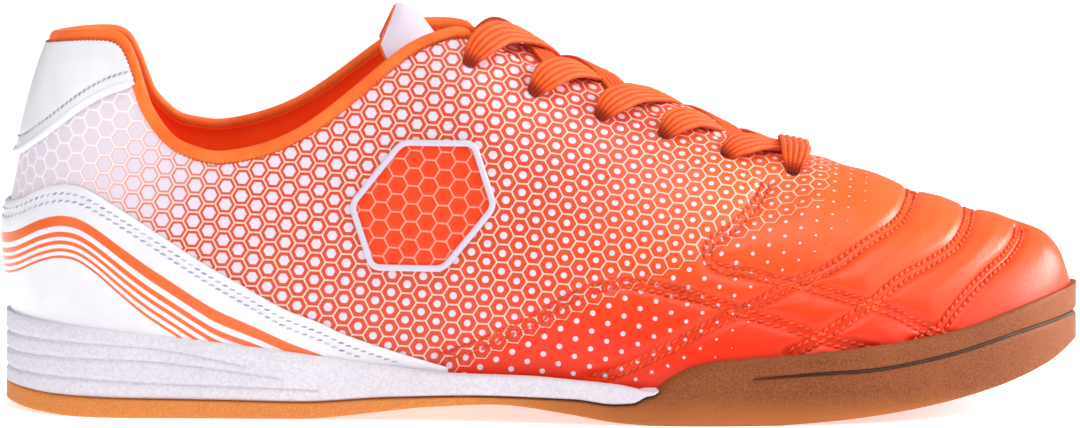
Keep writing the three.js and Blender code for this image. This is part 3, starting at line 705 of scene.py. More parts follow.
def panel_end(side):
    """The share of length at which the heel panel's seam runs in under the collar binding."""
    along = np.linspace(0.05, 0.15, 201)
    run = run_at(along)
    spot = last_point(run, turn_where(run, side, lambda p: p[..., 2] > panel_height(p[..., 0])))
    clear = spot[:, 2] < collar_at(BINDING_HEIGHT + FIT)(spot[:, 0], spot[:, 1])
    return along[clear].max()


PANEL_STITCH = 3.2  # from the panel's lower edge up to its stitches
SEAM_RAISE = 2.0
SEAM_SHOWN = 2.2  # width of the rolled seam


def make_heel_panel(material):
    """The upper heel overlay with a sunk row of stitches, and the raised, rolled seam at its lower edge."""
    skin = Skin()
    front = [panel_end(side) for side in (-1, 1)]
    run, turn = band_on_last(
        front,
        lambda x, y: panel_height(x) - 0.3,
        lambda x, y: np.maximum(collar_at(BINDING_HEIGHT)(x, y), panel_height(x) + 0.4),
        90,
        52,
    )
    face = last_point(run, turn)
    rise = face[..., 2] - panel_height(face[..., 0])
    rounded_sheet(skin, run, turn, 0.9, relief=-0.2 * np.exp(-(((rise - PANEL_STITCH) / 0.8) ** 2)))
    run, turn = band_on_last(front, lambda x, y: panel_height(x) - 0.2, lambda x, y: panel_height(x), 90, 1)
    path, normal = resample(last_point(run, turn)[:, 1], 1.0, last_normal(run, turn)[:, 1])
    ahead, up = unit(np.gradient(path, axis=0)), unit(normal)
    taper = end_taper(len(path), 0.05)
    section = oval(14, SEAM_SHOWN, SEAM_RAISE)
    skin.tube(sweep(path + up * (SEAM_RAISE / 2), np.cross(up, ahead) * taper, up * taper, section))
    made = skin.piece("heel_panel_leather", material, "white_leather", weld=0)
    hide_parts("heel_panel")


def rim_path(lower, steps):
    """Runs and turns of the upper's rim, lowered by a distance, from the lateral side round the heel."""
    run, side = round_heel(along_of(COLLAR_END) - 0.001, steps)
    return run, turns_round(run, side, past_rim(lower))


BINDING_SQUARE = (0.8, 0.9)  # powers under 1 square its section off, across and up


def make_binding(material):
    """The rolled edge: a flattened cord round the rim that reaches out over both faces of the upper."""
    run, turn = rim_path(BINDING_HEIGHT / 2, 260)
    normal = last_normal(run, turn)
    out = (BINDING_OUT - UPPER_WALL - BINDING_IN) / 2
    path, normal = resample(last_point(run, turn) + normal * out, 0.9, normal)
    ahead = unit(np.gradient(path, axis=0))
    normal = unit(normal - ahead * np.sum(normal * ahead, axis=-1, keepdims=True))
    up = np.cross(ahead, normal)
    up *= np.sign(up[len(up) // 2, 2])
    round_it = oval(22, 2, 2)
    half = np.array(((BINDING_OUT + UPPER_WALL + BINDING_IN) / 2, BINDING_HEIGHT / 2 + 0.35))
    section = np.sign(round_it) * np.abs(round_it) ** BINDING_SQUARE * half
    taper = end_taper(len(path), 0.1)
    skin = Skin()
    skin.tube(sweep(path, normal * taper, up * taper, section))
    made = skin.piece("collar_binding_roll", material, "binding", weld=0, sharp=0)
    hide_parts("collar_binding")


LINING_STOP = 0.72  # share of the length in front of which no lining shows
LINING_THIN = 0.7
LINING_RISE = 1.2  # how far it reaches above the shell's rim, into the binding
LINING_THINS = (16, 34)  # millimetres under the rim over which the pad thins out


def make_lining(sizes, material):
    """Padded knit lining, thick at the collar and thin further down, from the rim to the foot bed."""
    skin = Skin()
    for side, run, turn, _ in upper_sides(UPPER_RIM - LINING_RISE, (104, 16), 40):
        keep = along_at(run[:, 0]) < LINING_STOP
        run, turn = run[keep], turn[keep]
        face, normal = last_point(run, turn), last_normal(run, turn)
        arc = travelled(face, 1)
        under_rim = arc[:, -1:] - arc
        collar = bump(COLLAR_END + 6 - face[..., 0], 0, 14)
        collar *= bump(under_rim, 0, 9) * (1 - 0.8 * bump(under_rim, *LINING_THINS))
        thick = (LINING_THIN + sizes.lining_pad / MM * collar) * bump(arc, 0, 6) + FIT
        outer = skin.grid(face - normal * (UPPER_WALL + FIT / 2))
        inner = skin.grid(face - normal * (UPPER_WALL + FIT / 2 + thick)[..., None])
        skin.quads(outer, flip=side > 0)
        skin.quads(inner, flip=side < 0)
        skin.quads(np.stack((outer[:, 0], inner[:, 0])), flip=side > 0)
        skin.quads(np.stack((outer[:, -1], inner[:, -1])), flip=side < 0)
        skin.quads(np.stack((outer[-1], inner[-1])), flip=side < 0)
    made = skin.piece("lining_knit", material, "lining", sharp=60)


INSOLE_THICK = 3.0
INSOLE_INSET = UPPER_WALL + 1.4
INSOLE_DISH = 0.9


def make_insole(material):
    """Sock board, dished at the heel, from wall to wall on the foot bed."""
    skin = Skin()
    along = along_at(np.linspace(0.0, 1.0, 161))
    lateral, medial = (
        ((plan(along) * HALF_BALL - LIP - INSOLE_INSET) * end_round(along))[:, None]
        for plan in (plan_lateral, plan_medial)
    )
    shrink = 1 - 2 * (INSOLE_INSET + 2) / LENGTH
    x = CENTRE[0] + (HEEL_X + along * (LENGTH - LIP)) * shrink + 1.5
    share = np.linspace(-1, 1, 33)
    y = (plan_axis(along) * HALF_BALL + CENTRE[1])[:, None] + share * np.where(share < 0, lateral, medial)
    bed = foot_bed(along)[:, None]
    dish = INSOLE_DISH * (1 - share**4) * bump(0.5 - along, 0, 0.3)[:, None]
    top, low = bed + INSOLE_THICK + INSOLE_DISH - dish, np.broadcast_to(bed + FIT, y.shape)
    faces = []
    for z, flip in ((top, True), (low, False)):
        faces.append(skin.grid(np.stack((np.repeat(x[:, None], 33, 1), y, z), axis=-1)))
        skin.quads(faces[-1], flip=flip)
    for column, flip in ((0, False), (-1, True)):
        skin.quads(np.stack([face[:, column] for face in faces]), flip=flip)
    made = skin.piece("insole_sock", material, "lining")
    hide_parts("insole")


TONGUE = (  # along, half its turn, share of its drop under the upper
    (0.354, 0.2, 1),
    (0.375, 0.196, 1.5),
    (0.406, 0.192, 2.5),
    (0.45, 0.186, 2.7),
    (0.5, 0.18, 2.2),
    (0.6, 0.165, 1.3),
    (0.7, 0.15, 0.6),
    (0.78, 0.12, 0.17),
)
TONGUE_THICK = 4.0
TONGUE_DROP = 1.8
TONGUE_CROWN = (
    (0.354, 0), (0.385, -1.2), (0.41, -2.8), (0.435, -2.4), (0.465, 3), (0.5, 5), (0.66, 5), (0.74, 0),
)
TIP_LEAN = np.array((5.0, 0.0, 1.3))  # the tip's middle stands forward of its corners, and up
tongue_turn, tongue_drop, tongue_crown = curve(TONGUE, 1), curve(TONGUE, 2), curve(TONGUE_CROWN)
TIP_ROUND = 9.0  # millimetres over which the tip's corners are rounded off
PIPING = 1.0
PIPED_ROWS = 24  # rows of the sheet that the piping runs down from the tip
TIP_NARROWS = 0.24  # share of its half width that the tip's corners give up


def make_tongue(material, piping):
    """A padded sheet under the lace, its edges sewn thin, with a cord of piping round its tip."""
    steps, columns = 110, 36
    start = TONGUE[0][0]
    along = np.linspace(start, TONGUE[-1][0], steps + 1)
    share = np.linspace(-1, 1, columns + 1)
    tip = np.clip((along - start) * LENGTH / TIP_ROUND, 0, 1)
    corner = 1 - TIP_NARROWS * (1 - np.sqrt(1 - (1 - tip) ** 2))
    turn = 0.5 + (tongue_turn(along) * corner)[:, None] * share
    run = np.repeat(run_at(along)[:, None], columns + 1, axis=1)
    edge = np.minimum(np.clip((1 - np.abs(share)) / 0.16, 0, 1), np.clip(tip * 1.6, 0, 1)[:, None])
    thick = TONGUE_THICK * (0.45 + 0.55 * np.sqrt(1 - (1 - edge) ** 2))
    face = UPPER_WALL + TONGUE_DROP * tongue_drop(along) + TONGUE_THICK / 2
    middle = face[:, None] - tongue_crown(along)[:, None] * (1 - share**2)
    lean = (1 - bump(along, start, 0.43))[:, None] * (1 - share**2)
    normal = last_normal(run, turn)
    point = last_point(run, turn) + TIP_LEAN * lean[..., None]
    arc = travelled(point, 1)
    values = {"tip": ((along - start) * LENGTH)[:, None], "across": arc - arc[:, columns // 2, None]}
    skin = Skin()
    outside, inside = (
        skin.grid(point - normal * (middle + half)[..., None], **values) for half in (-thick / 2, thick / 2)
    )
    skin.sheet(outside, inside)
    made = skin.piece("tongue_pad", material, "white_leather", weld=0)
    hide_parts("tongue")
    path, outward = (
        np.concatenate((line[PIPED_ROWS:0:-1, 0], line[0], line[1 : PIPED_ROWS + 1, -1]))
        for line in (point - normal * middle[..., None], normal)
    )
    path, outward = resample(path, 0.8, outward)
    outward = unit(outward)
    across = np.cross(outward, unit(np.gradient(path, axis=0)))
    cord = Skin()
    cord.tube(sweep(path, across, outward, oval(10, PIPING, PIPING)))
    cord.piece("tongue_piping", piping, "binding", weld=0)


LACE_WIDTH = 8.4
LACE_THICK = 1.7
LACE_STEP = 0.8  # millimetres between its rings
LACE_LIFT = FIT + LACE_THICK / 2  # middle of the lace over the last

# A crossing's course: share of the way from its hole to the throat's middle, lift in millimetres, share of
# width
CROSSING = (
    (-0.05, -4.2, 0.4), (0.0, -1.0, 0.48), (0.07, 1.3, 0.78), (0.18, 2.3, 1.0), (0.4, 1.9, 1.0),
    (0.7, 0.3, 1.0), (1.0, -0.8, 1.0), (1.25, -1.6, 1.0), (1.45, -2.6, 1.0), (1.6, -3.4, 0.95),
)
LOWEST_CROSSING_END = 7  # rows of the course that the crossing next to the bar keeps
OVER = 0.75  # how far the upper one of two crossings is lifted and the lower one pressed
BAR = (
    (-0.01, -4.2, 0.4), (0.02, -0.8, 0.5), (0.08, 1.8, 0.82), (0.22, 2.8, 1.0), (0.5, 1.4, 1.0),
    (0.78, 2.8, 1.0), (0.92, 1.8, 0.82), (0.98, -0.8, 0.5), (1.01, -4.2, 0.4),
)


def lace_section(width, sizes):
    """A flat woven lace cut across: ribs on both faces and round edges."""
    share = np.linspace(-1, 1, 49)
    half = LACE_THICK / 2 * np.clip(1 - np.abs(share) ** 5, 0, 1) ** 0.5
    rib = 1 + 0.26 * np.cos(np.pi * sizes.lace_ribs * share) * (1 - share**8)
    upper = np.stack((share * width / 2, half * rib * 0.86), axis=-1)
    lower = upper[::-1][1:-1] * np.array((1, -1))
    return np.concatenate((upper, lower))


def lace_on_last(plans, course, skin, sizes):
    """One flat stretch of lace over plan places (along, share of half the ball from the crown), where the
    course gives its lift and its share of the full width."""
    spots = [plan_place(along, share) for along, share in plans]
    path, normal = (np.array(column) for column in zip(*spots))
    lift, width = (np.array(column)[:, None] for column in zip(*course))
    pieces = 4 * (len(path) - 1) + 8
    path = catmull(path + normal * (LACE_LIFT + lift), pieces)
    path, normal, width = resample(path, LACE_STEP, unit(catmull(normal, pieces)), catmull(width, pieces))
    ahead = unit(np.gradient(path, axis=0))
    across = unit(np.cross(ahead, normal))
    up = np.cross(across, ahead)
    section = lace_section(LACE_WIDTH, sizes)
    thicker = 1 + 0.5 * (1 - width)  # where it is squeezed narrow
    skin.tube(
        sweep(path, across * width, up * thicker, section),
        lace=LACE_STEP * np.arange(1, len(path) + 1)[:, None],
        width=section[:, 0],
        # painted shade where the lace narrows into its hole
        deep=np.clip((0.75 - width) / 0.2, 0, 1),
    )


def make_lace(sizes, material):
    """The crossings, each over or under the one from the other side, and the bar at the front."""
    skin = Skin()
    for side in (-1, 1):
        for i, along in enumerate(EYELETS[:-1]):
            rows = CROSSING if i < len(EYELETS) - 2 else CROSSING[:LOWEST_CROSSING_END]
            over = OVER * (1 if (side < 0) == (i % 2 == 0) else -1)
            ahead = EYELETS[i + 1] - along
            plans, course = [], []
            for share, lift, width in rows:
                plans.append((along + ahead * share, hole_share(along, side) * (1 - share)))
                course.append((lift + over * math.exp(-(((share - 1) / 0.3) ** 2)), width))
            lace_on_last(plans, course, skin, sizes)
    plans = [(EYELETS[-1], hole_share(EYELETS[-1], 1) * (2 * share - 1)) for share, _, _ in BAR]
    lace_on_last(plans, [row[1:] for row in BAR], skin, sizes)
    made = skin.piece("lace_flat", material, "lace", weld=0, sharp=70)
    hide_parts("lace_crossings")


SOLE_SIDE = (
    (0, 0.014), (0.04, 0.006), (0.12, 0.001), (0.35, 0), (0.8, 0.001), (0.93, 0.006), (0.98, 0.014),
    (1, 0.021),
)
sole_in = curve(SOLE_SIDE)
GROOVE = 1.0  # depth of the cup's groove, and the width of the midsole's
MIDSOLE_END = MIDSOLE_TOP[-1][0] + 0.012
MIDSOLE_TIP = 0.026  # share of the length over which its underside rounds up to its tip
MIDSOLE_GROOVES = (
    ((-0.01, 0.83), (0.06, 0.81), (0.145, 0.75), (0.229, 0.56)),
    ((-0.01, 0.64), (0.06, 0.64), (0.145, 0.61), (0.262, 0.435)),
    ((-0.01, 0.45), (0.06, 0.425), (0.145, 0.38), (0.294, 0.315)),
)
CUP_GROOVE = (
    (0.694, 0.68), (0.752, 0.74), (0.816, 0.79), (0.881, 0.945), (0.934, 1.14), (0.965, 1.24), (1.01, 1.36),
)


def sole_point(along, side, up, low, high):
    """A point of the sole's side, up being a share of its height there."""
    half = np.where(side < 0, plan_lateral(along), plan_medial(along)) * HALF_BALL
    reach = (half - sole_in(up) * BALL_WIDTH) * end_round(along)
    x = HEEL_X + along * LENGTH
    y = plan_axis(along) * HALF_BALL + side * reach
    return np.stack(np.broadcast_arrays(x, y, low + (high - low) * up), axis=-1) + CENTRE


def groove_depth(along, z, lines, height, width, deep):
    """How far grooves cut in along side view lines, in shares of the length and of a height."""
    cut = np.zeros_like(z)
    for line in lines:
        points = catmull(line, 60)
        start, end = line[0][0], line[-1][0]
        at = np.interp(along, points[:, 0], points[:, 1] * height)
        inside = bump(along, start - 0.002, start + 0.002) * (1 - bump(along, end - 0.004, end))
        cut = np.maximum(cut, deep * inside * np.exp(-(((z - at) / (width / 2)) ** 2)))
    return cut


LIP_RISE = 0.25  # the lip's middle stands this much over its edges
BOTTOM_COLUMNS = 20
FLOOR_COLUMNS = 4


def sole_half(stations, side, low, high, rows, grooves, ledge, bed, tread):
    """Half rings of a sole: over its bottom, up its side, over its lip and down under the upper."""
    along = stations[:, None]
    y_middle = plan_axis(stations) * HALF_BALL + CENTRE[1]
    up = 0.5 - 0.5 * np.cos(np.pi * np.linspace(0, 1, rows + 1))
    face = sole_point(along, side, up, low[:, None], high[:, None])
    depth = groove_depth(np.broadcast_to(along, face.shape[:2]), face[..., 2], *grooves)
    ends = end_round(along)
    lengthways = np.where(along < 0.5, ends - 1, 1 - ends)
    outward = unit(np.stack((lengthways, side * ends, np.zeros_like(along)), -1))
    face = face - outward * depth[..., None]
    middle = face[:, 0].copy()
    middle[:, 1] = y_middle
    bottom = middle[:, None] + (face[:, 0] - middle)[:, None] * np.linspace(0, 1, BOTTOM_COLUMNS + 1)[:, None]
    if tread:
        bottom = tread(bottom)
    run = run_at(stations)
    turn = turn_where(run, side, lambda p: p[..., 2] > np.maximum(high - ledge, bed + 0.6))
    gap = last_point(run, turn) + last_normal(run, turn) * FIT
    lip = (face[:, -1] + gap) / 2
    lip[:, 2] += LIP_RISE
    root = last_point(run, 0.0 if side < 0 else 1.0)
    off = root[:, 1] - y_middle
    root[:, 1] += np.where(np.abs(off) < 1e-9, 0, np.sign(off) * FIT)
    root[:, 2] = bed - FIT
    inner = root.copy()
    inner[:, 1] = y_middle
    floor = root[:, None] + (inner - root)[:, None] * np.linspace(0, 1, FLOOR_COLUMNS + 1)[:, None]
    return np.concatenate((bottom, face[:, 1:], lip[:, None], gap[:, None], floor), axis=1)


def sole_block(skin, stations, low, high, rows, grooves, ledge, bed, tread=None):
    """A sole as one closed block between its stations."""
    last_rings = []
    for side in (-1, 1):
        index = skin.grid(sole_half(stations, side, low, high, rows, grooves, ledge, bed, tread))
        skin.quads(index, flip=side > 0)
        last_rings.append(index[-1].tolist())
    if stations[-1] < 1:
        skin.faces.append(last_rings[0] + last_rings[1][::-1])


def midsole_low(along):
    """Height of the midsole's lower edge, which rounds up to its top edge at the tip."""
    foot, top = midsole_foot(along) * HEEL_STACK, midsole_top(along) * HEEL_STACK
    tip = np.clip((along - MIDSOLE_END + MIDSOLE_TIP) / MIDSOLE_TIP, 0, 1)
    return top - (top - foot) * np.maximum(np.sqrt(1 - tip**3), 0.12)


def make_midsole(material):
    """The foam wedge from the heel to the ball, with the thin grooves of its side."""
    stations = along_at(np.linspace(0, float(run_at(MIDSOLE_END)), 240))
    low, high = midsole_low(stations), midsole_top(stations) * HEEL_STACK
    grooves = (MIDSOLE_GROOVES, HEEL_STACK, GROOVE, GROOVE * 0.7)
    bed = np.minimum(np.maximum(foot_bed(stations), low + 1.2), high - 0.05)
    skin = Skin()
    sole_block(skin, stations, low, high, 56, grooves, 0.4, bed)
    made = skin.piece("midsole_foam", material, "foam", sharp=60)
    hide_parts("midsole")


TREAD = ((0.05, 0.25, 5), (0.62, 0.93, 8))  # from, to, grooves
TREAD_WIDTH = 1.6
TREAD_DEPTH = 1.2
TREAD_EDGE = 9.0  # millimetres of plain edge round it
TREAD_SLANT = 0.09  # run back of a groove for each millimetre out from the middle


def tread_cut(bottom):
    """The bottom with its cross grooves cut, which slant back from its middle."""
    bottom = bottom.copy()
    out = np.abs(bottom[..., 1] - bottom[:, :1, 1])
    inside = bump(out[:, -1:] - out, TREAD_EDGE - 2, TREAD_EDGE)
    x = bottom[..., 0] - CENTRE[0] + TREAD_SLANT * out
    depth = np.zeros_like(x)
    for start, end, count in TREAD:
        for place in np.linspace(start, end, count):
            away = np.abs(x - (HEEL_X + place * LENGTH))
            depth = np.maximum(depth, 1 - bump(away, TREAD_WIDTH / 2 - 0.2, TREAD_WIDTH / 2 + 0.5))
    bottom[..., 2] += TREAD_DEPTH * depth * inside
    return bottom


def make_outsole(material):
    """The gum sole: thin under the foam, a cup round the forefoot, with a stitch groove and a cut tread."""
    stations = along_at(np.linspace(0, 1, 520))
    behind = midsole_low(stations) - FIT
    step = bump(stations, MIDSOLE_END + 0.0005, MIDSOLE_END + 0.004)
    high = behind + (cup_top(stations) * CUP_HEIGHT - behind) * step
    grooves = ((CUP_GROOVE,), CUP_HEIGHT, GROOVE * 1.2, GROOVE)
    bed = np.where(stations < MIDSOLE_END, high - 0.2, foot_bed(stations))
    skin = Skin()
    sole_block(skin, stations, underside(stations), high, 44, grooves, 0.5, bed, tread=tread_cut)
    made = skin.piece("outsole_gum", material, "gum", sharp=60)
    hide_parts("outsole")


BADGE_CORNER = 2.2  # millimetres of side that each rounded corner takes up


def badge_turns(line, side):
    """The last's run and turn at side view points of one side."""
    run = run_at(along_of(line[:, 0]) * LENGTH / (LENGTH - LIP))
    for _ in range(3):
        turn = turn_where(run, side, lambda p: p[..., 2] > line[:, 1])
        run = run_at(along_at(run) + (line[:, 0] - last_point(run, turn)[:, 0]) / LENGTH)
    return run, turn


def badge_line():
    """The ring's middle line seen from the side: a slanted hexagon with rounded corners."""
    radius = (BADGE["radius"] - BADGE["stroke"] / 2) * LENGTH
    angle = np.pi / 3 * np.arange(6)
    corners = radius * np.stack((np.cos(angle), np.sin(angle)), -1)
    line = []
    for k, here in enumerate(corners):
        others = (corners[k - 1], corners[(k + 1) % 6])
        start, end = (here + unit(other - here) * BADGE_CORNER for other in others)
        line.extend((1 - t) ** 2 * start + 2 * t * (1 - t) * here + t * t * end for t in np.linspace(0, 1, 7))
    line = np.array(line + line[:1])
    line[:, 0] += BADGE["slant"] * line[:, 1]
    (line,) = resample(line, 0.8)
    return line[:-1] + np.array((HEEL_X + BADGE["along"] * LENGTH, BADGE["up"] * TAB_HEIGHT)) + CENTRE[[0, 2]]


def make_badge(material, side, name):
    """A raised cord in a slanted six-sided ring, moulded on the quarter."""
    run, turn = badge_turns(badge_line(), side)
    path, normal = last_point(run, turn), last_normal(run, turn)
    across = unit(np.cross(normal, np.roll(path, -1, axis=0) - np.roll(path, 1, axis=0)))
    high = OVERLAY_GAP + OVERLAY_WALL
    section = oval(16, BADGE["stroke"] * LENGTH, high) + (0, high / 2)
    skin = Skin()
    skin.tube(sweep(path, across, normal, section), closed=True)
    made = skin.piece(name, material, "white_leather", weld=0)
    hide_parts("side_badge_lateral" if side < 0 else "side_badge_medial")


# Sections of a stitch: share of its half length from its middle, share of its full thickness
STITCH = ((-1.0, 0.12), (-0.8, 0.62), (-0.35, 1.0), (0.35, 1.0), (0.8, 0.62), (1.0, 0.12))
STITCH_SHOWN = 0.92  # share of the pitch that shows between two holes
STITCH_LEAN = 0.28  # a lock stitch lies a little askew in its row
STITCH_LIFT = 0.55  # of its half thickness, how far a stitch's middle stands out
STITCH_DIP = 0.8  # and how far its ends dip from there


def add_stitches(skin, path, normal, pitch, thread, sink=0.0):
    """Thread along a path: one fat short stitch after another, each askew and dipping into its holes."""
    path, normal = resample(path, pitch, normal)
    middle = (path[:-1] + path[1:]) / 2
    ahead = unit(path[1:] - path[:-1])
    up = unit(normal[:-1] + normal[1:])
    across = unit(np.cross(up, ahead))
    half = pitch * STITCH_SHOWN / 2
    section = thread / 2 * oval(6, 2.2, 2.0)
    rings = []
    for at, girth in STITCH:
        lift = thread / 2 * (STITCH_LIFT - STITCH_DIP * at * at) - sink
        centre = middle + (ahead + across * STITCH_LEAN) * (half * at) + up * lift
        rings.append(sweep(centre, across, up, section * girth))
    for stitch in np.stack(rings, axis=1):
        skin.tube(stitch)


def beside(path, normal, offset):
    """A line shifted along the surface, across its own direction."""
    ahead = unit(np.gradient(path, axis=0))
    return path + unit(np.cross(normal, ahead)) * offset


def double_row(path, normal, half, turned_end):
    """Two rows beside a seam, joined by a half round at its end where the seam turns back."""
    left, right = beside(path, normal, half), beside(path, normal, -half)
    if not turned_end:
        return [(left, normal), (right, normal)]
    ahead, up = unit(path[-1] - path[-3]), normal[-1]
    across = unit(np.cross(up, ahead))
    angle = np.linspace(0.2, np.pi - 0.2, 7)[:, None]
    bend = path[-1] + half * (across * np.cos(angle) + ahead * np.sin(angle))
    line = np.concatenate((left, bend, right[::-1]))
    return [(line, np.concatenate((normal, np.repeat(up[None], 7, 0), normal[::-1])))]


TURNED = ("ball", "toe", "tip")
OVERLAY_FACE = OVERLAY_GAP + OVERLAY_WALL - 0.2  # where stitches lie on an overlay
HEEL_THREAD = 0.5
HEEL_PITCH = 1.5
COLLAR_STITCH = 0.3  # under the binding
COLLAR_THREAD = 0.42
COLLAR_PITCH = 1.2
# a dark cord in the cup's groove, painted shadow of the groove
CUP_SHADOW_CORD = 0.75
CUP_TAPER = 30.0  # millimetres over which it comes to its full thickness
CUP_SINK = 0.55  # its middle lies this far in
FOXING_SEAM_END = 0.385  # share of the length where the foxing's double seam ends


def make_vamp_stitches(sizes, material):
    """Two rows beside every quilting seam, pulled into its trough."""
    skin = Skin()
    sink = sizes.quilt_depth / MM * 0.8
    for name, rows in QUILT_LINES.items():
        for side in (-1, 1):
            path, normal = seam_on_last(rows, side)
            for line, up in double_row(path, normal, ROW_HALF, name in TURNED):
                add_stitches(skin, line, up, sizes.stitch_length / MM, sizes.thread / MM, sink)
    skin.piece("stitches_vamp", material, "orange_leather", weld=0, sharp=0)


def line_on_last(front, height, steps=200):
    """A line round the heel at a side view height, with its normals."""
    run, turn = band_on_last(front, height, lambda x, y: height(x, y) + 1, steps, 1)
    return resample(last_point(run, turn)[:, 0], SEAM_SPACING, last_normal(run, turn)[:, 0])


def make_heel_stitches(sizes, material):
    """The foxing's double seam and the panel's single row."""
    skin = Skin()
    for shift in (-ROW_HALF, ROW_HALF):
        drop = FOXING_SEAM + shift
        path, up = line_on_last(
            FOXING_SEAM_END, lambda x, y: np.maximum(foxing_height(x) - drop, sole_top(x) + 1)
        )
        keep = path[:, 2] > sole_top(path[:, 0]) + 1.2
        add_stitches(skin, (path + up * OVERLAY_FACE)[keep], up[keep], sizes.stitch_length / MM, HEEL_THREAD)
    path, up = line_on_last(PANEL_SEAM[-1][0], lambda x, y: panel_height(x) + PANEL_STITCH)
    keep = path[:, 2] < collar_at(BINDING_HEIGHT + 1.5)(path[:, 0], path[:, 1])
    add_stitches(skin, (path + up * OVERLAY_FACE)[keep], up[keep], HEEL_PITCH, HEEL_THREAD)
    skin.piece("stitches_heel", material, "white_leather", weld=0, sharp=0)


def make_collar_stitches(material):
    """The row that holds the binding, pulled into its lower edge."""
    skin = Skin()
    run, turn = rim_path(BINDING_HEIGHT + COLLAR_STITCH, 240)
    path, up = resample(last_point(run, turn), SEAM_SPACING, last_normal(run, turn))
    on_panel = (path[:, 2] > panel_height(path[:, 0])) & (along_of(path[:, 0]) < PANEL_SEAM[-1][0])
    lift = np.where(on_panel, OVERLAY_FACE, 0.0)
    add_stitches(skin, path + up * lift[:, None], up, COLLAR_PITCH, COLLAR_THREAD)
    skin.piece("stitches_collar", material, "binding", weld=0, sharp=0)


def make_sole_groove_shadow(material):
    """A dark cord sunk in the groove of the outsole's cup as painted shadow, thin where it starts."""
    skin = Skin()
    line = catmull(CUP_GROOVE, 200)
    line = line[line[:, 0] < 0.999]
    along, z = line[:, 0], line[:, 1] * CUP_HEIGHT
    low, high = underside(along), cup_top(along) * CUP_HEIGHT
    for side in (-1, 1):
        path = sole_point(along, side, (z - low) / (high - low), low, high)
        outward = unit(np.cross(np.gradient(path, axis=0), np.array((0, 0, -side))))
        path, outward = resample(path, SEAM_SPACING, outward)
        across = unit(np.cross(outward, np.gradient(path, axis=0)))
        thick = CUP_SHADOW_CORD * bump(np.arange(len(path)) * SEAM_SPACING, -6, CUP_TAPER)[:, None]
        skin.tube(sweep(path - outward * CUP_SINK, across * thick, outward * thick, oval(8, 1, 1)))
    skin.piece("sole_groove_shadow_cord", material, "gum", weld=0, sharp=0)


def linear(code):
    """An sRGB hex colour as the linear colour that shaders take."""
    code = code.lstrip("#")
    parts = [int(code[n : n + 2], 16) / 255 for n in (0, 2, 4)]
    return tuple(p / 12.92 if p <= 0.04045 else ((p + 0.055) / 1.055) ** 2.4 for p in parts) + (1.0,)


def fill(tree, made, inputs):
    """Sets or links a node's inputs, given with their numbers or names. None leaves one alone."""
    for key, value in inputs:
        if hasattr(value, "is_linked"):
            tree.links.new(value, made.inputs[key])
        elif value is not None:
            made.inputs[key].default_value = value


def add_node(tree, kind, *inputs, out=0, **settings):
    """Adds a node with its settings and its inputs in their order, and gives one of its outputs."""
    made = tree.nodes.new("ShaderNode" + kind)
    for name, value in settings.items():
        setattr(made, name, value)
    fill(tree, made, enumerate(inputs))
    return made.outputs[out]


def start_material(name):
    """A material, the function that adds nodes to it, and the place on the piece in millimetres."""
    material = bpy.data.materials.new(name)
    material.use_nodes = True
    node = partial(add_node, material.node_tree)
    metres = node("TexCoord", out=3)
    return material, node, node("VectorMath", metres, (1 / MM, 1 / MM, 1 / MM), operation="MULTIPLY")


def finish(material, base, bump=None, **inputs):
    """Gives a material its base colour, its bump (strength, depth in metres, height) and other inputs of its
    shader, their names written with underscores."""
    tree = material.node_tree
    shader = next(n for n in tree.nodes if n.type == "BSDF_PRINCIPLED")
    inputs["Base_Color"] = base
    if bump:
        strength, depth, height = bump
        inputs["Normal"] = add_node(tree, "Bump", strength, depth, None, height)
    fill(tree, shader, [(name.replace("_", " "), value) for name, value in inputs.items()])
    return material


def attributes(node, *names):
    return (node("Attribute", attribute_name=name, out=2) for name in names)


def mottled(node, place, scale, detail, spread, first, second):
    """Two colours mixed by soft clouds, whose values this near the middle are spread over the whole mix."""
    cloud = node("TexNoise", place, None, scale, detail)
    share = node("MapRange", cloud, 0.5 - spread, 0.5 + spread, 0.0, 1.0)
    return node("MixRGB", share, first, second)


CELL_LEAN = 0.06  # the columns of cells lean by this slope


def cell_pattern(node, across, arc, pitch):
    """Flat-topped hexagons over two surface coordinates in millimetres: share of the way from a cell's middle
    to its edge, share to a round dot's, and the place in the cell."""
    lean = node("Math", arc, -CELL_LEAN, across, operation="MULTIPLY_ADD")
    place = node("CombineXYZ", lean, arc, 0.0)
    half = (pitch * math.sqrt(3) / 2, pitch / 2, 0.0)
    low, high = (-half[0], -half[1], -1.0), (half[0], half[1], 1.0)
    first = node("VectorMath", place, high, low, operation="WRAP")
    second = node("VectorMath", place, half, operation="SUBTRACT")
    second = node("VectorMath", second, high, low, operation="WRAP")
    first_length = node("VectorMath", first, operation="LENGTH", out=1)
    second_length = node("VectorMath", second, operation="LENGTH", out=1)
    nearer = node("Math", second_length, first_length, operation="LESS_THAN")
    local = node("Mix", nearer, None, None, None, first, second, data_type="VECTOR", out=1)
    absolute = node("VectorMath", local, operation="ABSOLUTE")
    across_side = (math.cos(math.pi / 6), 0.5, 0.0)
    slant = node("VectorMath", absolute, across_side, operation="DOT_PRODUCT", out=1)
    upright = node("SeparateXYZ", absolute, out=1)
    edge = node("Math", upright, slant, operation="MAXIMUM")
    edge = node("Math", edge, 2 / pitch, operation="MULTIPLY")
    dot = node("VectorMath", local, operation="LENGTH", out=1)
    dot = node("Math", dot, 2 / pitch, operation="MULTIPLY")
    return edge, dot, local


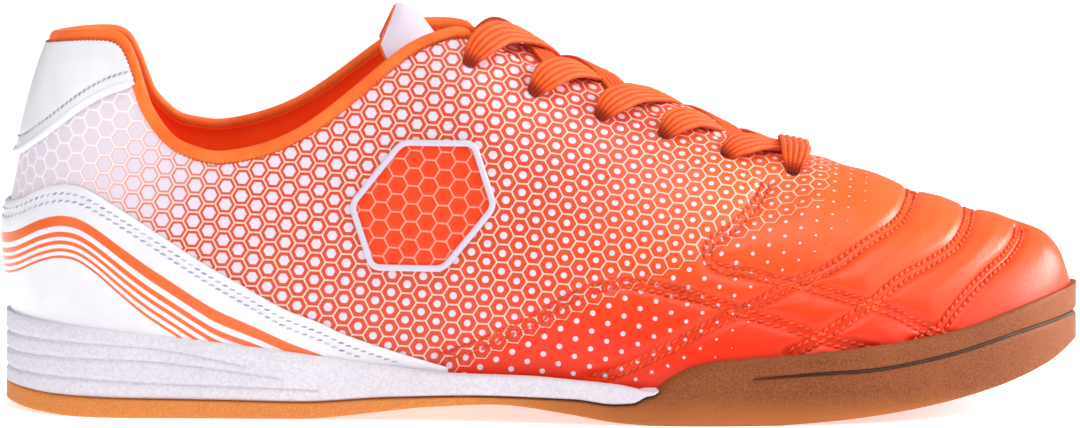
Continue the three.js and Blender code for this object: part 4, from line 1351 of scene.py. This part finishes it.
# Size of the dot in a cell, a share of the cell, from the heel to the toe and from the top down
DOT_RANGE = (-200.0, 30.0)
DOTS = (
    (0, 0.8), (0.13, 0.73), (0.25, 0.64), (0.37, 0.56), (0.55, 0.45), (0.75, 0.33), (0.86, 0.27),
    (0.93, 0.2), (0.985, 0.1), (1, 0.0),
)
DOT_ROUNDS = (-120.0, -50.0)  # over this stretch the six-sided dots become round
PRINT_STARTS = (-204.0, -136.0)  # behind it the cells are faint, in front of it in full colour
OUTLINE = (0.89, 0.94)  # a cell's outline starts at this share of it
OUTLINES_END = 74.0  # no outlines in front of the eyestay
OUTLINES_LOW = (0.46, 24.5)  # nor under a slanting line, its slope and height
GRAIN_MM = 0.9  # leather grain, drawn coarse enough to show
PRINT_PALE = "#E9E2EA"
PRINT_WHITE = "#F8F5F8"
PRINT_OUTLINE = "#F6CDC2"
PRINT_DOT = "#E2D5E0"
RING_CELL = "#F8420E"
RING_OUTLINE = "#F0A088"
# painted shade of the vamp: the deeper orange it takes towards the ground
VAMP_PAINTED_SHADE = "#EE2E02"
# painted shade of a lace hole, which is not cut through the shell
HOLE_PAINTED_SHADE = "#4A1004"


def shape_curve(line, rows):
    """Shapes a curve node's line through rows."""
    while len(line.points) < len(rows):
        line.points.new(0.5, 0.5)
    for point, (x, y) in zip(line.points, rows):
        point.location = (x, y)
        point.handle_type = "AUTO"


def upper_leather(colours, sizes):
    """Coated microfibre leather, pressed and printed: a soft half gloss, faint grain, and crisp cells that
    stand a little proud."""
    material, node, place = start_material("coated_leather_printed")
    across, arc, hole, ring = attributes(node, "across", "arc", "hole", "ring")
    edge, dot, local = cell_pattern(node, across, arc, sizes.cell_pitch / MM)
    # The print changes from cell to cell, so it goes by the place of each cell's middle
    turned = node("VectorRotate", local, None, (1.0, 0.0, 0.0), math.pi / 2)
    middle = node("VectorMath", place, turned, operation="SUBTRACT")
    cell_x = node("SeparateXYZ", middle)
    cell_z = node("SeparateXYZ", middle, out=2)
    ahead = node("Math", cell_x, cell_z, operation="SUBTRACT")
    share = node("MapRange", ahead, *DOT_RANGE, 0.0, 1.0)
    dot_size = node("FloatCurve", 1.0, share)
    shape_curve(dot_size.node.mapping.curves[0], DOTS)
    rounded = node("MapRange", ahead, *DOT_ROUNDS, 0.0, 1.0, interpolation_type="SMOOTHSTEP")
    shape = node("Mix", rounded, None, edge, dot)
    in_ring = node("MapRange", ring, 0.97, 1.0, 1.0, 0.0)
    dot_size = node("Math", dot_size, in_ring, operation="SUBTRACT")
    shape = node("Math", shape, dot_size, operation="SUBTRACT")
    in_dot = node("MapRange", shape, -0.035, 0.035, 1.0, 0.0)
    low = node("Math", cell_x, *OUTLINES_LOW, operation="MULTIPLY_ADD")
    outlined = node("Math", cell_z, low, operation="GREATER_THAN")
    back = node("Math", cell_x, OUTLINES_END, operation="LESS_THAN")
    outlined = node("Math", outlined, back, operation="MULTIPLY")
    in_outline = node("MapRange", edge, *OUTLINE, 0.0, 1.0)
    in_outline = node("Math", in_outline, outlined, operation="MULTIPLY")
    strength = node("MapRange", ahead, *PRINT_STARTS, 0.0, 1.0, interpolation_type="SMOOTHSTEP")
    # Painted shade: the vamp's orange deepens towards the ground, mixed with soft clouds of random tone
    cloud = node("TexNoise", place, None, 0.025, 2.0)
    height = node("SeparateXYZ", place, out=2)
    painted_shade_and_tone = node("MapRange", height, 14.0, 62.0, 0.9, 0.0, interpolation_type="SMOOTHSTEP")
    painted_shade_and_tone = node("Math", cloud, 0.2, painted_shade_and_tone, operation="MULTIPLY_ADD", use_clamp=True)
    vamp = node("MixRGB", painted_shade_and_tone, colours.vamp, linear(VAMP_PAINTED_SHADE))
    cell = node("MixRGB", strength, linear(PRINT_PALE), colours.print_ring)
    plain = node("MapRange", ahead, -60.0, 0.0, 0.0, 1.0, interpolation_type="SMOOTHSTEP")
    cell = node("MixRGB", plain, cell, vamp)
    body = node("MixRGB", outlined, vamp, cell)
    body = node("MixRGB", in_ring, body, linear(RING_CELL))
    outline = node("MixRGB", strength, linear(PRINT_WHITE), linear(PRINT_OUTLINE))
    outline = node("MixRGB", in_ring, outline, linear(RING_OUTLINE))
    colour = node("MixRGB", in_outline, body, outline)
    colour = node("MixRGB", in_dot, colour, linear(PRINT_DOT))
    # Painted shade: a dark disc at each lace hole stands in for the hole's shadowed inside
    in_hole = node("MapRange", hole, HOLE / 2 - 0.3, HOLE / 2 + 0.3, 1.0, 0.0)
    colour = node("MixRGB", in_hole, colour, linear(HOLE_PAINTED_SHADE))
    grain = node("TexVoronoi", place, None, 1 / GRAIN_MM)
    fine = node("TexNoise", place, None, 1.6, 4.0)
    relief = node("Math", fine, 0.6, grain, operation="MULTIPLY_ADD")
    printed = node("Math", in_outline, in_dot, operation="MAXIMUM")
    relief = node("Math", printed, 0.9, relief, operation="MULTIPLY_ADD")
    dome = node("MapRange", edge, 0.5, 0.95, 8.0, 0.0, interpolation_type="SMOOTHSTEP")
    relief = node("Math", dome, in_ring, relief, operation="MULTIPLY_ADD")
    return finish(
        material,
        colour,
        bump=(0.25, 0.00012, relief),
        Roughness=node("MapRange", fine, 0.3, 0.7, 0.36, 0.46),
        Specular_IOR_Level=0.32,
        Coat_Weight=0.08,
        Coat_Roughness=0.3,
    )


# Orange stripes of the foxing: how far under its top edge each starts, seen from the side, and its width
STRIPES = ((8.1, 2.6), (12.1, 1.3), (14.3, 1.0), (16.3, 0.85), (18.1, 0.7))
LEATHER_COOL = "#E6E4EA"


def smooth_leather(colours):
    """Coated leather, white, ironed smooth: a semi-gloss, faintly grained, striped by its drop."""
    material, node, place = start_material("coated_leather_white")
    (drop,) = attributes(node, "drop")
    striped = 0.0
    for top, wide in STRIPES:
        off = node("Math", drop, top + wide / 2, operation="SUBTRACT")
        off = node("Math", off, operation="ABSOLUTE")
        inside = node("MapRange", off, wide / 2 - 0.1, wide / 2 + 0.1, 1.0, 0.0)
        striped = node("Math", inside, striped, operation="MAXIMUM")
    white = mottled(node, place, 0.06, 3.0, 0.2, colours.leather, linear(LEATHER_COOL))
    grain = node("TexVoronoi", place, None, 1 / GRAIN_MM)
    fine = node("TexNoise", place, None, 1.4, 4.0)
    return finish(
        material,
        node("MixRGB", striped, white, colours.stripe),
        bump=(0.15, 0.00012, node("Math", grain, fine, operation="ADD")),
        Roughness=node("MapRange", fine, 0.3, 0.7, 0.28, 0.38),
        Coat_Weight=0.25,
        Coat_Roughness=0.22,
    )


WAVE = math.pi / 10  # a wave texture of this scale over a length repeats once in it
LINING_DEEP = "#FF3400"
LINING_YARN = 0.5


def lining_knit(colours):
    """Polyester warp knit, brushed: matt and even, with a soft sheen at grazing angles."""
    material, node, place = start_material("polyester_knit_brushed")
    rib = node("TexWave", place, WAVE / LINING_YARN, 1.5, bands_direction="X", out=1)
    course = node("TexWave", place, WAVE / LINING_YARN, 1.5, bands_direction="Z", out=1)
    loops = node("Math", rib, course, operation="MULTIPLY")
    colour = mottled(node, place, 0.06, 3.0, 0.2, linear(LINING_DEEP), colours.lining)
    bump = (0.25, 0.00015, loops)
    return finish(material, colour, bump, Roughness=0.9, Specular_IOR_Level=0.2, Sheen_Weight=0.05)


BINDING_DEEP = "#F2641C"
BINDING_YARN = 0.45


def binding_tape(colours):
    """Polyester binding tape, woven and folded: a fine cross rib and a low sheen."""
    material, node, place = start_material("polyester_tape_woven")
    rib = node("TexWave", place, WAVE / BINDING_YARN, 1.0, bands_direction="X", out=1)
    colour = mottled(node, place, 0.08, 4.0, 0.15, linear(BINDING_DEEP), colours.binding)
    bump = (0.3, 0.0002, rib)
    return finish(material, colour, bump, Roughness=0.7, Specular_IOR_Level=0.3, Sheen_Weight=0.08)


TONGUE_TIP = (19.0, 24.0)  # millimetres from the tip over which the white tip gives way to the print
TONGUE_WHITE = "#D8CCDA"


def tongue_face(colours, sizes):
    """Coated microfibre of the tongue: white at its tip, printed with the quarters' cells under the lace."""
    material, node, place = start_material("coated_microfibre_tongue")
    tip, across = attributes(node, "tip", "across")
    edge, dot, _ = cell_pattern(node, tip, across, sizes.cell_pitch / MM)
    in_outline = node("MapRange", edge, *OUTLINE, 0.0, 1.0)
    in_dot = node("MapRange", dot, 0.4, 0.46, 1.0, 0.0)
    pale = node("Math", in_outline, in_dot, operation="MAXIMUM")
    printed = node("MixRGB", pale, colours.print_ring, linear(PRINT_OUTLINE))
    beyond = node("MapRange", tip, *TONGUE_TIP, 0.0, 1.0)
    colour = node("MixRGB", beyond, linear(TONGUE_WHITE), printed)
    fine = node("TexNoise", place, None, 1.4, 4.0)
    return finish(material, colour, (0.2, 0.00012, fine), Roughness=0.5)


# painted shade in the lace's valleys between its ribs
LACE_VALLEY_SHADE = "#D0380C"
# painted shade where the lace dips into a hole
LACE_HOLE_SHADE = "#A02406"
LACE_YARN = 0.55


def lace_weave(colours, sizes):
    """Flat polyester lace, tubular woven: soft ribs with painted shade in the valleys between them, a fine cross
    weave, and painted shade where it dips into a hole.
    """
    material, node, _ = start_material("polyester_lace_woven")
    run, wide, deep = attributes(node, "lace", "width", "deep")
    flat = node("CombineXYZ", run, wide, 0.0)
    weave = node("TexWave", flat, WAVE / LACE_YARN, 0.6, bands_direction="X", out=1)
    rib = node("Math", wide, 2 * math.pi * sizes.lace_ribs / LACE_WIDTH, operation="MULTIPLY")
    rib = node("Math", rib, operation="COSINE")
    # Painted shade in the valleys between the lace's ribs, mixed with the weave's tone
    valley_shade = node("MapRange", rib, -1.0, 0.1, 0.8, 0.0)
    painted_shade_and_tone = node("Math", weave, 0.22, valley_shade, operation="MULTIPLY_ADD", use_clamp=True)
    colour = node("MixRGB", painted_shade_and_tone, colours.lace, linear(LACE_VALLEY_SHADE))
    # Painted shade where the lace dips into a hole
    colour = node("MixRGB", deep, colour, linear(LACE_HOLE_SHADE))
    bump = (0.6, 0.00025, weave)
    return finish(material, colour, bump, Roughness=0.75, Specular_IOR_Level=0.3, Sheen_Weight=0.08)


FOAM_COOL = "#DEDAE2"
FOAM_PIT = "#C4BECB"
FOAM_PEBBLE = 0.8


def foam_skin(colours):
    """EVA foam, compression moulded: bright and matt, with the fine pebbled skin of its mould."""
    material, node, place = start_material("eva_foam_moulded")
    pebble = node("TexVoronoi", place, None, 1 / FOAM_PEBBLE, feature="SMOOTH_F1")
    fine = node("TexNoise", place, None, 1.6, 3.0)
    relief = node("Math", fine, 0.8, pebble, operation="MULTIPLY_ADD")
    white = mottled(node, place, 0.05, 3.0, 0.2, colours.foam, linear(FOAM_COOL))
    pit = node("MapRange", relief, 0.5, 1.1, 0.0, 0.5)
    colour = node("MixRGB", pit, white, linear(FOAM_PIT))
    return finish(material, colour, (0.5, 0.0003, relief), Roughness=0.6)


GUM_DEEP = "#6E3416"
# painted bounce light from the lit floor on the gum's lower part
GUM_BOUNCE_LIGHT = "#D97F36"
GUM_HEEL = "#E88F48"
GUM_LIGHT = "#AC6838"


def gum_rubber(colours):
    """Natural gum rubber, moulded against sandblasted steel: matt and sandy, lighter towards the ground with
    painted bounce light from the floor, and paler orange at the heel.
    """
    material, node, place = start_material("gum_rubber_moulded")
    x = node("SeparateXYZ", place)
    z = node("SeparateXYZ", place, out=2)
    # Painted bounce light from the lit floor, over the bottom 9 mm of the gum
    painted_bounce_light = node("MapRange", z, 0.0, 9.0, 0.55, 0.0, interpolation_type="SMOOTHSTEP")
    heel = node("MapRange", x, -20.0, 20.0, 1.0, 0.0)
    sand = node("TexNoise", place, None, 2.6, 4.0)
    body = mottled(node, place, 0.04, 3.0, 0.2, colours.gum, linear(GUM_DEEP))
    body = node("MixRGB", painted_bounce_light, body, linear(GUM_BOUNCE_LIGHT))
    body = node("MixRGB", heel, body, linear(GUM_HEEL))
    speck = node("MapRange", sand, 0.4, 0.62, 0.0, 0.5)
    return finish(
        material,
        node("MixRGB", speck, body, linear(GUM_LIGHT)),
        bump=(0.3, 0.00025, sand),
        Roughness=0.6,
        Specular_IOR_Level=0.25,
        Subsurface_Weight=0.08,
        Subsurface_Scale=0.003,
    )


STRAND = 0.4


def sewing_thread(name, colour, deep):
    """Bonded polyester thread, twisted: fine slanting strands and a slight gloss."""
    material, node, place = start_material(name)
    strand = node("TexWave", place, WAVE / STRAND, bands_direction="DIAGONAL", out=1)
    colour = mottled(node, place, 0.3, 2.0, 0.15, deep, colour)
    return finish(material, colour, (0.4, 0.0001, strand), Roughness=0.5)


def ring_plastic(colours):
    """Thermoplastic polyurethane cord, welded on: smooth and waxy, with soft highlights."""
    material, node, place = start_material("polyurethane_cord_moulded")
    fine = node("TexNoise", place, None, 1.2, 2.0)
    rough = node("MapRange", fine, 0.3, 0.7, 0.3, 0.42)
    return finish(material, colours.ring, Roughness=rough, Subsurface_Weight=0.1, Subsurface_Scale=0.001)


CAMERA_RISE = 6.0  # degrees that the camera looks down
PHOTO_WIDTH = 282.1 * MM  # of the plane through the shoe that the photo spans
LOOK_AT = (-0.3 * MM, 0.0, 50.0 * MM)
SENSOR = 36.0
CLIP_END = 20  # metres
LIT_PLACE = (0, 0, 0.04)
WORLD_WHITE = "#F4F5F8"
WORLD_LIGHT = 0.38
FLOOR_GLOW = 0.6  # a lit table: the floor's own light
LIGHTS = (  # name, place, size in metres, watts, tint
    ("softbox_over", (0.15, -0.3, 1.0), (0.9, 0.6), 6, (1.0, 0.99, 0.97)),
    ("softbox_toe", (0.9, -0.45, 0.6), (0.5, 0.5), 2, (1.0, 1.0, 1.0)),
    ("softbox_heel", (-0.9, -0.7, 0.5), (0.6, 0.6), 2, (1.0, 1.0, 1.0)),
    ("softbox_rim", (0.9, 0.3, 0.4), (0.5, 0.4), 11, (1.0, 0.95, 0.96)),
)
FLOOR_REACH = 4.0
FLOOR_WHITE = "#F9F9FB"


def place_in_scene(name, data, place=(0, 0, 0)):
    """An object of the stage."""
    made = bpy.data.objects.new(name, data)
    made.location = place
    bpy.context.scene.collection.objects.link(made)
    return made


def make_camera(distance):
    """A long lens from a little above the lateral side, framed as the photo is."""
    rise = math.radians(CAMERA_RISE)
    camera = bpy.data.cameras.new("photo_camera")
    camera.sensor_width = SENSOR
    camera.lens = SENSOR * distance / PHOTO_WIDTH
    camera.clip_end = CLIP_END
    away = Vector((0, -math.cos(rise), math.sin(rise))) * distance
    holder = place_in_scene("photo_camera", camera, Vector(LOOK_AT) + away)
    holder.rotation_euler = (math.pi / 2 - rise, 0, 0)
    bpy.context.scene.camera = holder


def make_floor():
    mesh = bpy.data.meshes.new("floor")
    corners = [(x * FLOOR_REACH, y * FLOOR_REACH, 0) for x, y in ((-1, -1), (1, -1), (1, 1), (-1, 1))]
    mesh.from_pydata(corners, [], [(0, 1, 2, 3)])
    floor = place_in_scene("floor", mesh)
    material, _, _ = start_material("floor_paper_matt")
    white = linear(FLOOR_WHITE)
    finish(material, white, Roughness=0.9, Emission_Color=white, Emission_Strength=FLOOR_GLOW)
    mesh.materials.append(material)


def make_lights():
    """Softboxes turned to the shoe, and the even light of a white room."""
    for name, place, size, power, tint in LIGHTS:
        light = bpy.data.lights.new(name, "AREA")
        light.shape = "RECTANGLE"
        light.size, light.size_y = size
        light.energy = power
        light.color = tint
        lamp = place_in_scene(name, light, place)
        lamp.rotation_euler = (Vector(LIT_PLACE) - Vector(place)).to_track_quat("-Z", "Y").to_euler()
        lamp.visible_camera = False
    world = bpy.data.worlds.new("studio")
    world.use_nodes = True
    back = next(n for n in world.node_tree.nodes if n.type == "BACKGROUND")
    fill(world.node_tree, back, enumerate((linear(WORLD_WHITE), WORLD_LIGHT)))
    bpy.context.scene.world = world


def size_property(name, description, size):
    return FloatProperty(name=name, description=description, default=size, unit="LENGTH")


class ShoeSizes(bpy.types.PropertyGroup):
    """Sizes of the finish that a user would change"""

    cell_pitch: size_property("Cell Pitch", "From one printed cell to the next", 4.65 * MM)
    quilt_depth: size_property("Quilt Depth", "How far a quilting seam sinks in", 1.1 * MM)
    quilt_puff: size_property("Quilt Puff", "How far the padding stands out between seams", 1.3 * MM)
    lining_pad: size_property("Lining Pad", "Padding of the collar", 3.6 * MM)
    stitch_length: size_property("Stitch Length", "From one stitch to the next", 2.1 * MM)
    thread: size_property("Thread", "Thickness of the quilting thread", 0.82 * MM)
    lace_ribs: IntProperty(name="Lace Ribs", description="Ribs along the flat lace", default=5)
    camera_distance: size_property("Camera Distance", "From the camera to the shoe's middle", 4.0)


def colour_property(name, description, code):
    return FloatVectorProperty(
        name=name, description=description, default=linear(code), size=4, subtype="COLOR", min=0, max=1
    )


class ShoeColours(bpy.types.PropertyGroup):
    """Colours of the shoe's materials"""

    vamp: colour_property("Vamp", "Coated leather of the forefoot", "#F56522")
    print_ring: colour_property("Print", "Rings of the printed cells", "#DA4A28")
    leather: colour_property("Heel Leather", "White overlays of the heel", "#F4F3F6")
    ring: colour_property("Side Ring", "Moulded cord of the side rings", "#D2CEDF")
    stripe: colour_property("Stripe", "Stripes of the foxing", "#EF6414")
    binding: colour_property("Binding", "Rolled collar edge", "#FF7A30")
    lining: colour_property("Lining", "Knit inside the collar", "#FF4A0C")
    lace: colour_property("Lace", "Flat woven lace", "#FF6A1E")
    thread: colour_property("Thread", "Quilting thread", "#F45A22")
    foam: colour_property("Foam", "Midsole foam", "#E8E4EB")
    gum: colour_property("Gum", "Gum rubber of the outsole", "#88461F")


class ShoeOperator:
    """What all makers share: each makes its pieces from the scene's sizes and colours."""

    bl_options = {"REGISTER", "UNDO"}

    def execute(self, context):
        self.make(context.scene.shoe_sizes, context.scene.shoe_colours)
        return {"FINISHED"}


class SHOE_OT_sole(ShoeOperator, bpy.types.Operator):
    """Makes the foam midsole, the gum outsole and the dark cord of painted shadow in its groove"""

    bl_idname = "shoe.make_sole"
    bl_label = "Sole"

    def make(self, sizes, colours):
        make_midsole(foam_skin(colours))
        make_outsole(gum_rubber(colours))
        # A dark cord sunk in the cup's groove as its painted shadow
        make_sole_groove_shadow(sewing_thread("sole_groove_shadow_polyester", linear("#3A1608"), linear("#240C04")))


class SHOE_OT_upper(ShoeOperator, bpy.types.Operator):
    """Makes the printed and quilted shell of the upper"""

    bl_idname = "shoe.make_upper"
    bl_label = "Upper"

    def make(self, sizes, colours):
        make_upper(sizes, upper_leather(colours, sizes))


class SHOE_OT_inside(ShoeOperator, bpy.types.Operator):
    """Makes the padded lining and the insole"""

    bl_idname = "shoe.make_inside"
    bl_label = "Lining and Insole"

    def make(self, sizes, colours):
        lining = lining_knit(colours)
        make_lining(sizes, lining)
        make_insole(lining)


class SHOE_OT_heel(ShoeOperator, bpy.types.Operator):
    """Makes the heel panel with its rolled seam and the striped foxing"""

    bl_idname = "shoe.make_heel"
    bl_label = "Heel Overlays"

    def make(self, sizes, colours):
        leather = smooth_leather(colours)
        make_heel_panel(leather)
        make_foxing(leather)


class SHOE_OT_binding(ShoeOperator, bpy.types.Operator):
    """Makes the rolled edge of the collar"""

    bl_idname = "shoe.make_binding"
    bl_label = "Collar Binding"

    def make(self, sizes, colours):
        make_binding(binding_tape(colours))


class SHOE_OT_tongue(ShoeOperator, bpy.types.Operator):
    """Makes the padded tongue and its piping"""

    bl_idname = "shoe.make_tongue"
    bl_label = "Tongue"

    def make(self, sizes, colours):
        make_tongue(tongue_face(colours, sizes), bpy.data.materials["polyester_tape_woven"])


class SHOE_OT_lace(ShoeOperator, bpy.types.Operator):
    """Runs the flat lace through its holes"""

    bl_idname = "shoe.make_lace"
    bl_label = "Lace"

    def make(self, sizes, colours):
        make_lace(sizes, lace_weave(colours, sizes))


class SHOE_OT_badges(ShoeOperator, bpy.types.Operator):
    """Makes the raised six-sided ring on each quarter"""

    bl_idname = "shoe.make_badges"
    bl_label = "Side Rings"

    def make(self, sizes, colours):
        cord = ring_plastic(colours)
        make_badge(cord, -1, "side_ring_lateral")
        make_badge(cord, 1, "side_ring_medial")


class SHOE_OT_seams(ShoeOperator, bpy.types.Operator):
    """Sews the visible rows of stitches"""

    bl_idname = "shoe.make_seams"
    bl_label = "Seams"

    def make(self, sizes, colours):
        quilting = sewing_thread("quilting_thread_polyester", colours.thread, linear("#D23C12"))
        heel = sewing_thread("heel_thread_polyester", linear("#C4C6D4"), linear("#8C90A4"))
        collar = sewing_thread("collar_thread_polyester", linear("#E05A20"), linear("#A83412"))
        make_vamp_stitches(sizes, quilting)
        make_heel_stitches(sizes, heel)
        make_collar_stitches(collar)


class SHOE_OT_stage(ShoeOperator, bpy.types.Operator):
    """Sets the camera, the floor and the soft studio light"""

    bl_idname = "shoe.make_stage"
    bl_label = "Stage"

    def make(self, sizes, colours):
        make_camera(sizes.camera_distance)
        make_floor()
        make_lights()
        bpy.context.scene.view_settings.view_transform = "Standard"


PIECES = (
    SHOE_OT_stage, SHOE_OT_sole, SHOE_OT_upper, SHOE_OT_inside, SHOE_OT_heel, SHOE_OT_binding, SHOE_OT_tongue,
    SHOE_OT_lace, SHOE_OT_badges, SHOE_OT_seams,
)


class SHOE_PT_panel(bpy.types.Panel):
    """Sizes, colours and makers of the shoe's pieces"""

    bl_idname = "SHOE_PT_panel"
    bl_label = "Indoor Shoe"
    bl_space_type = "VIEW_3D"
    bl_region_type = "UI"
    bl_category = "Shoe"

    def draw(self, context):
        for group in (context.scene.shoe_sizes, context.scene.shoe_colours):
            box = self.layout.box()
            for name in group.__annotations__:
                box.prop(group, name)
        for piece in PIECES:
            self.layout.operator(piece.bl_idname)


CLASSES = (ShoeSizes, ShoeColours, *PIECES, SHOE_PT_panel)


def register():
    for one in CLASSES:
        bpy.utils.register_class(one)
    bpy.types.Scene.shoe_sizes = PointerProperty(type=ShoeSizes)
    bpy.types.Scene.shoe_colours = PointerProperty(type=ShoeColours)


def unregister():
    del bpy.types.Scene.shoe_colours
    del bpy.types.Scene.shoe_sizes
    for one in reversed(CLASSES):
        bpy.utils.unregister_class(one)


def main():
    register()
    for piece in PIECES:
        group, name = piece.bl_idname.split(".")
        getattr(getattr(bpy.ops, group), name)()


if __name__ == "__main__":
    main()
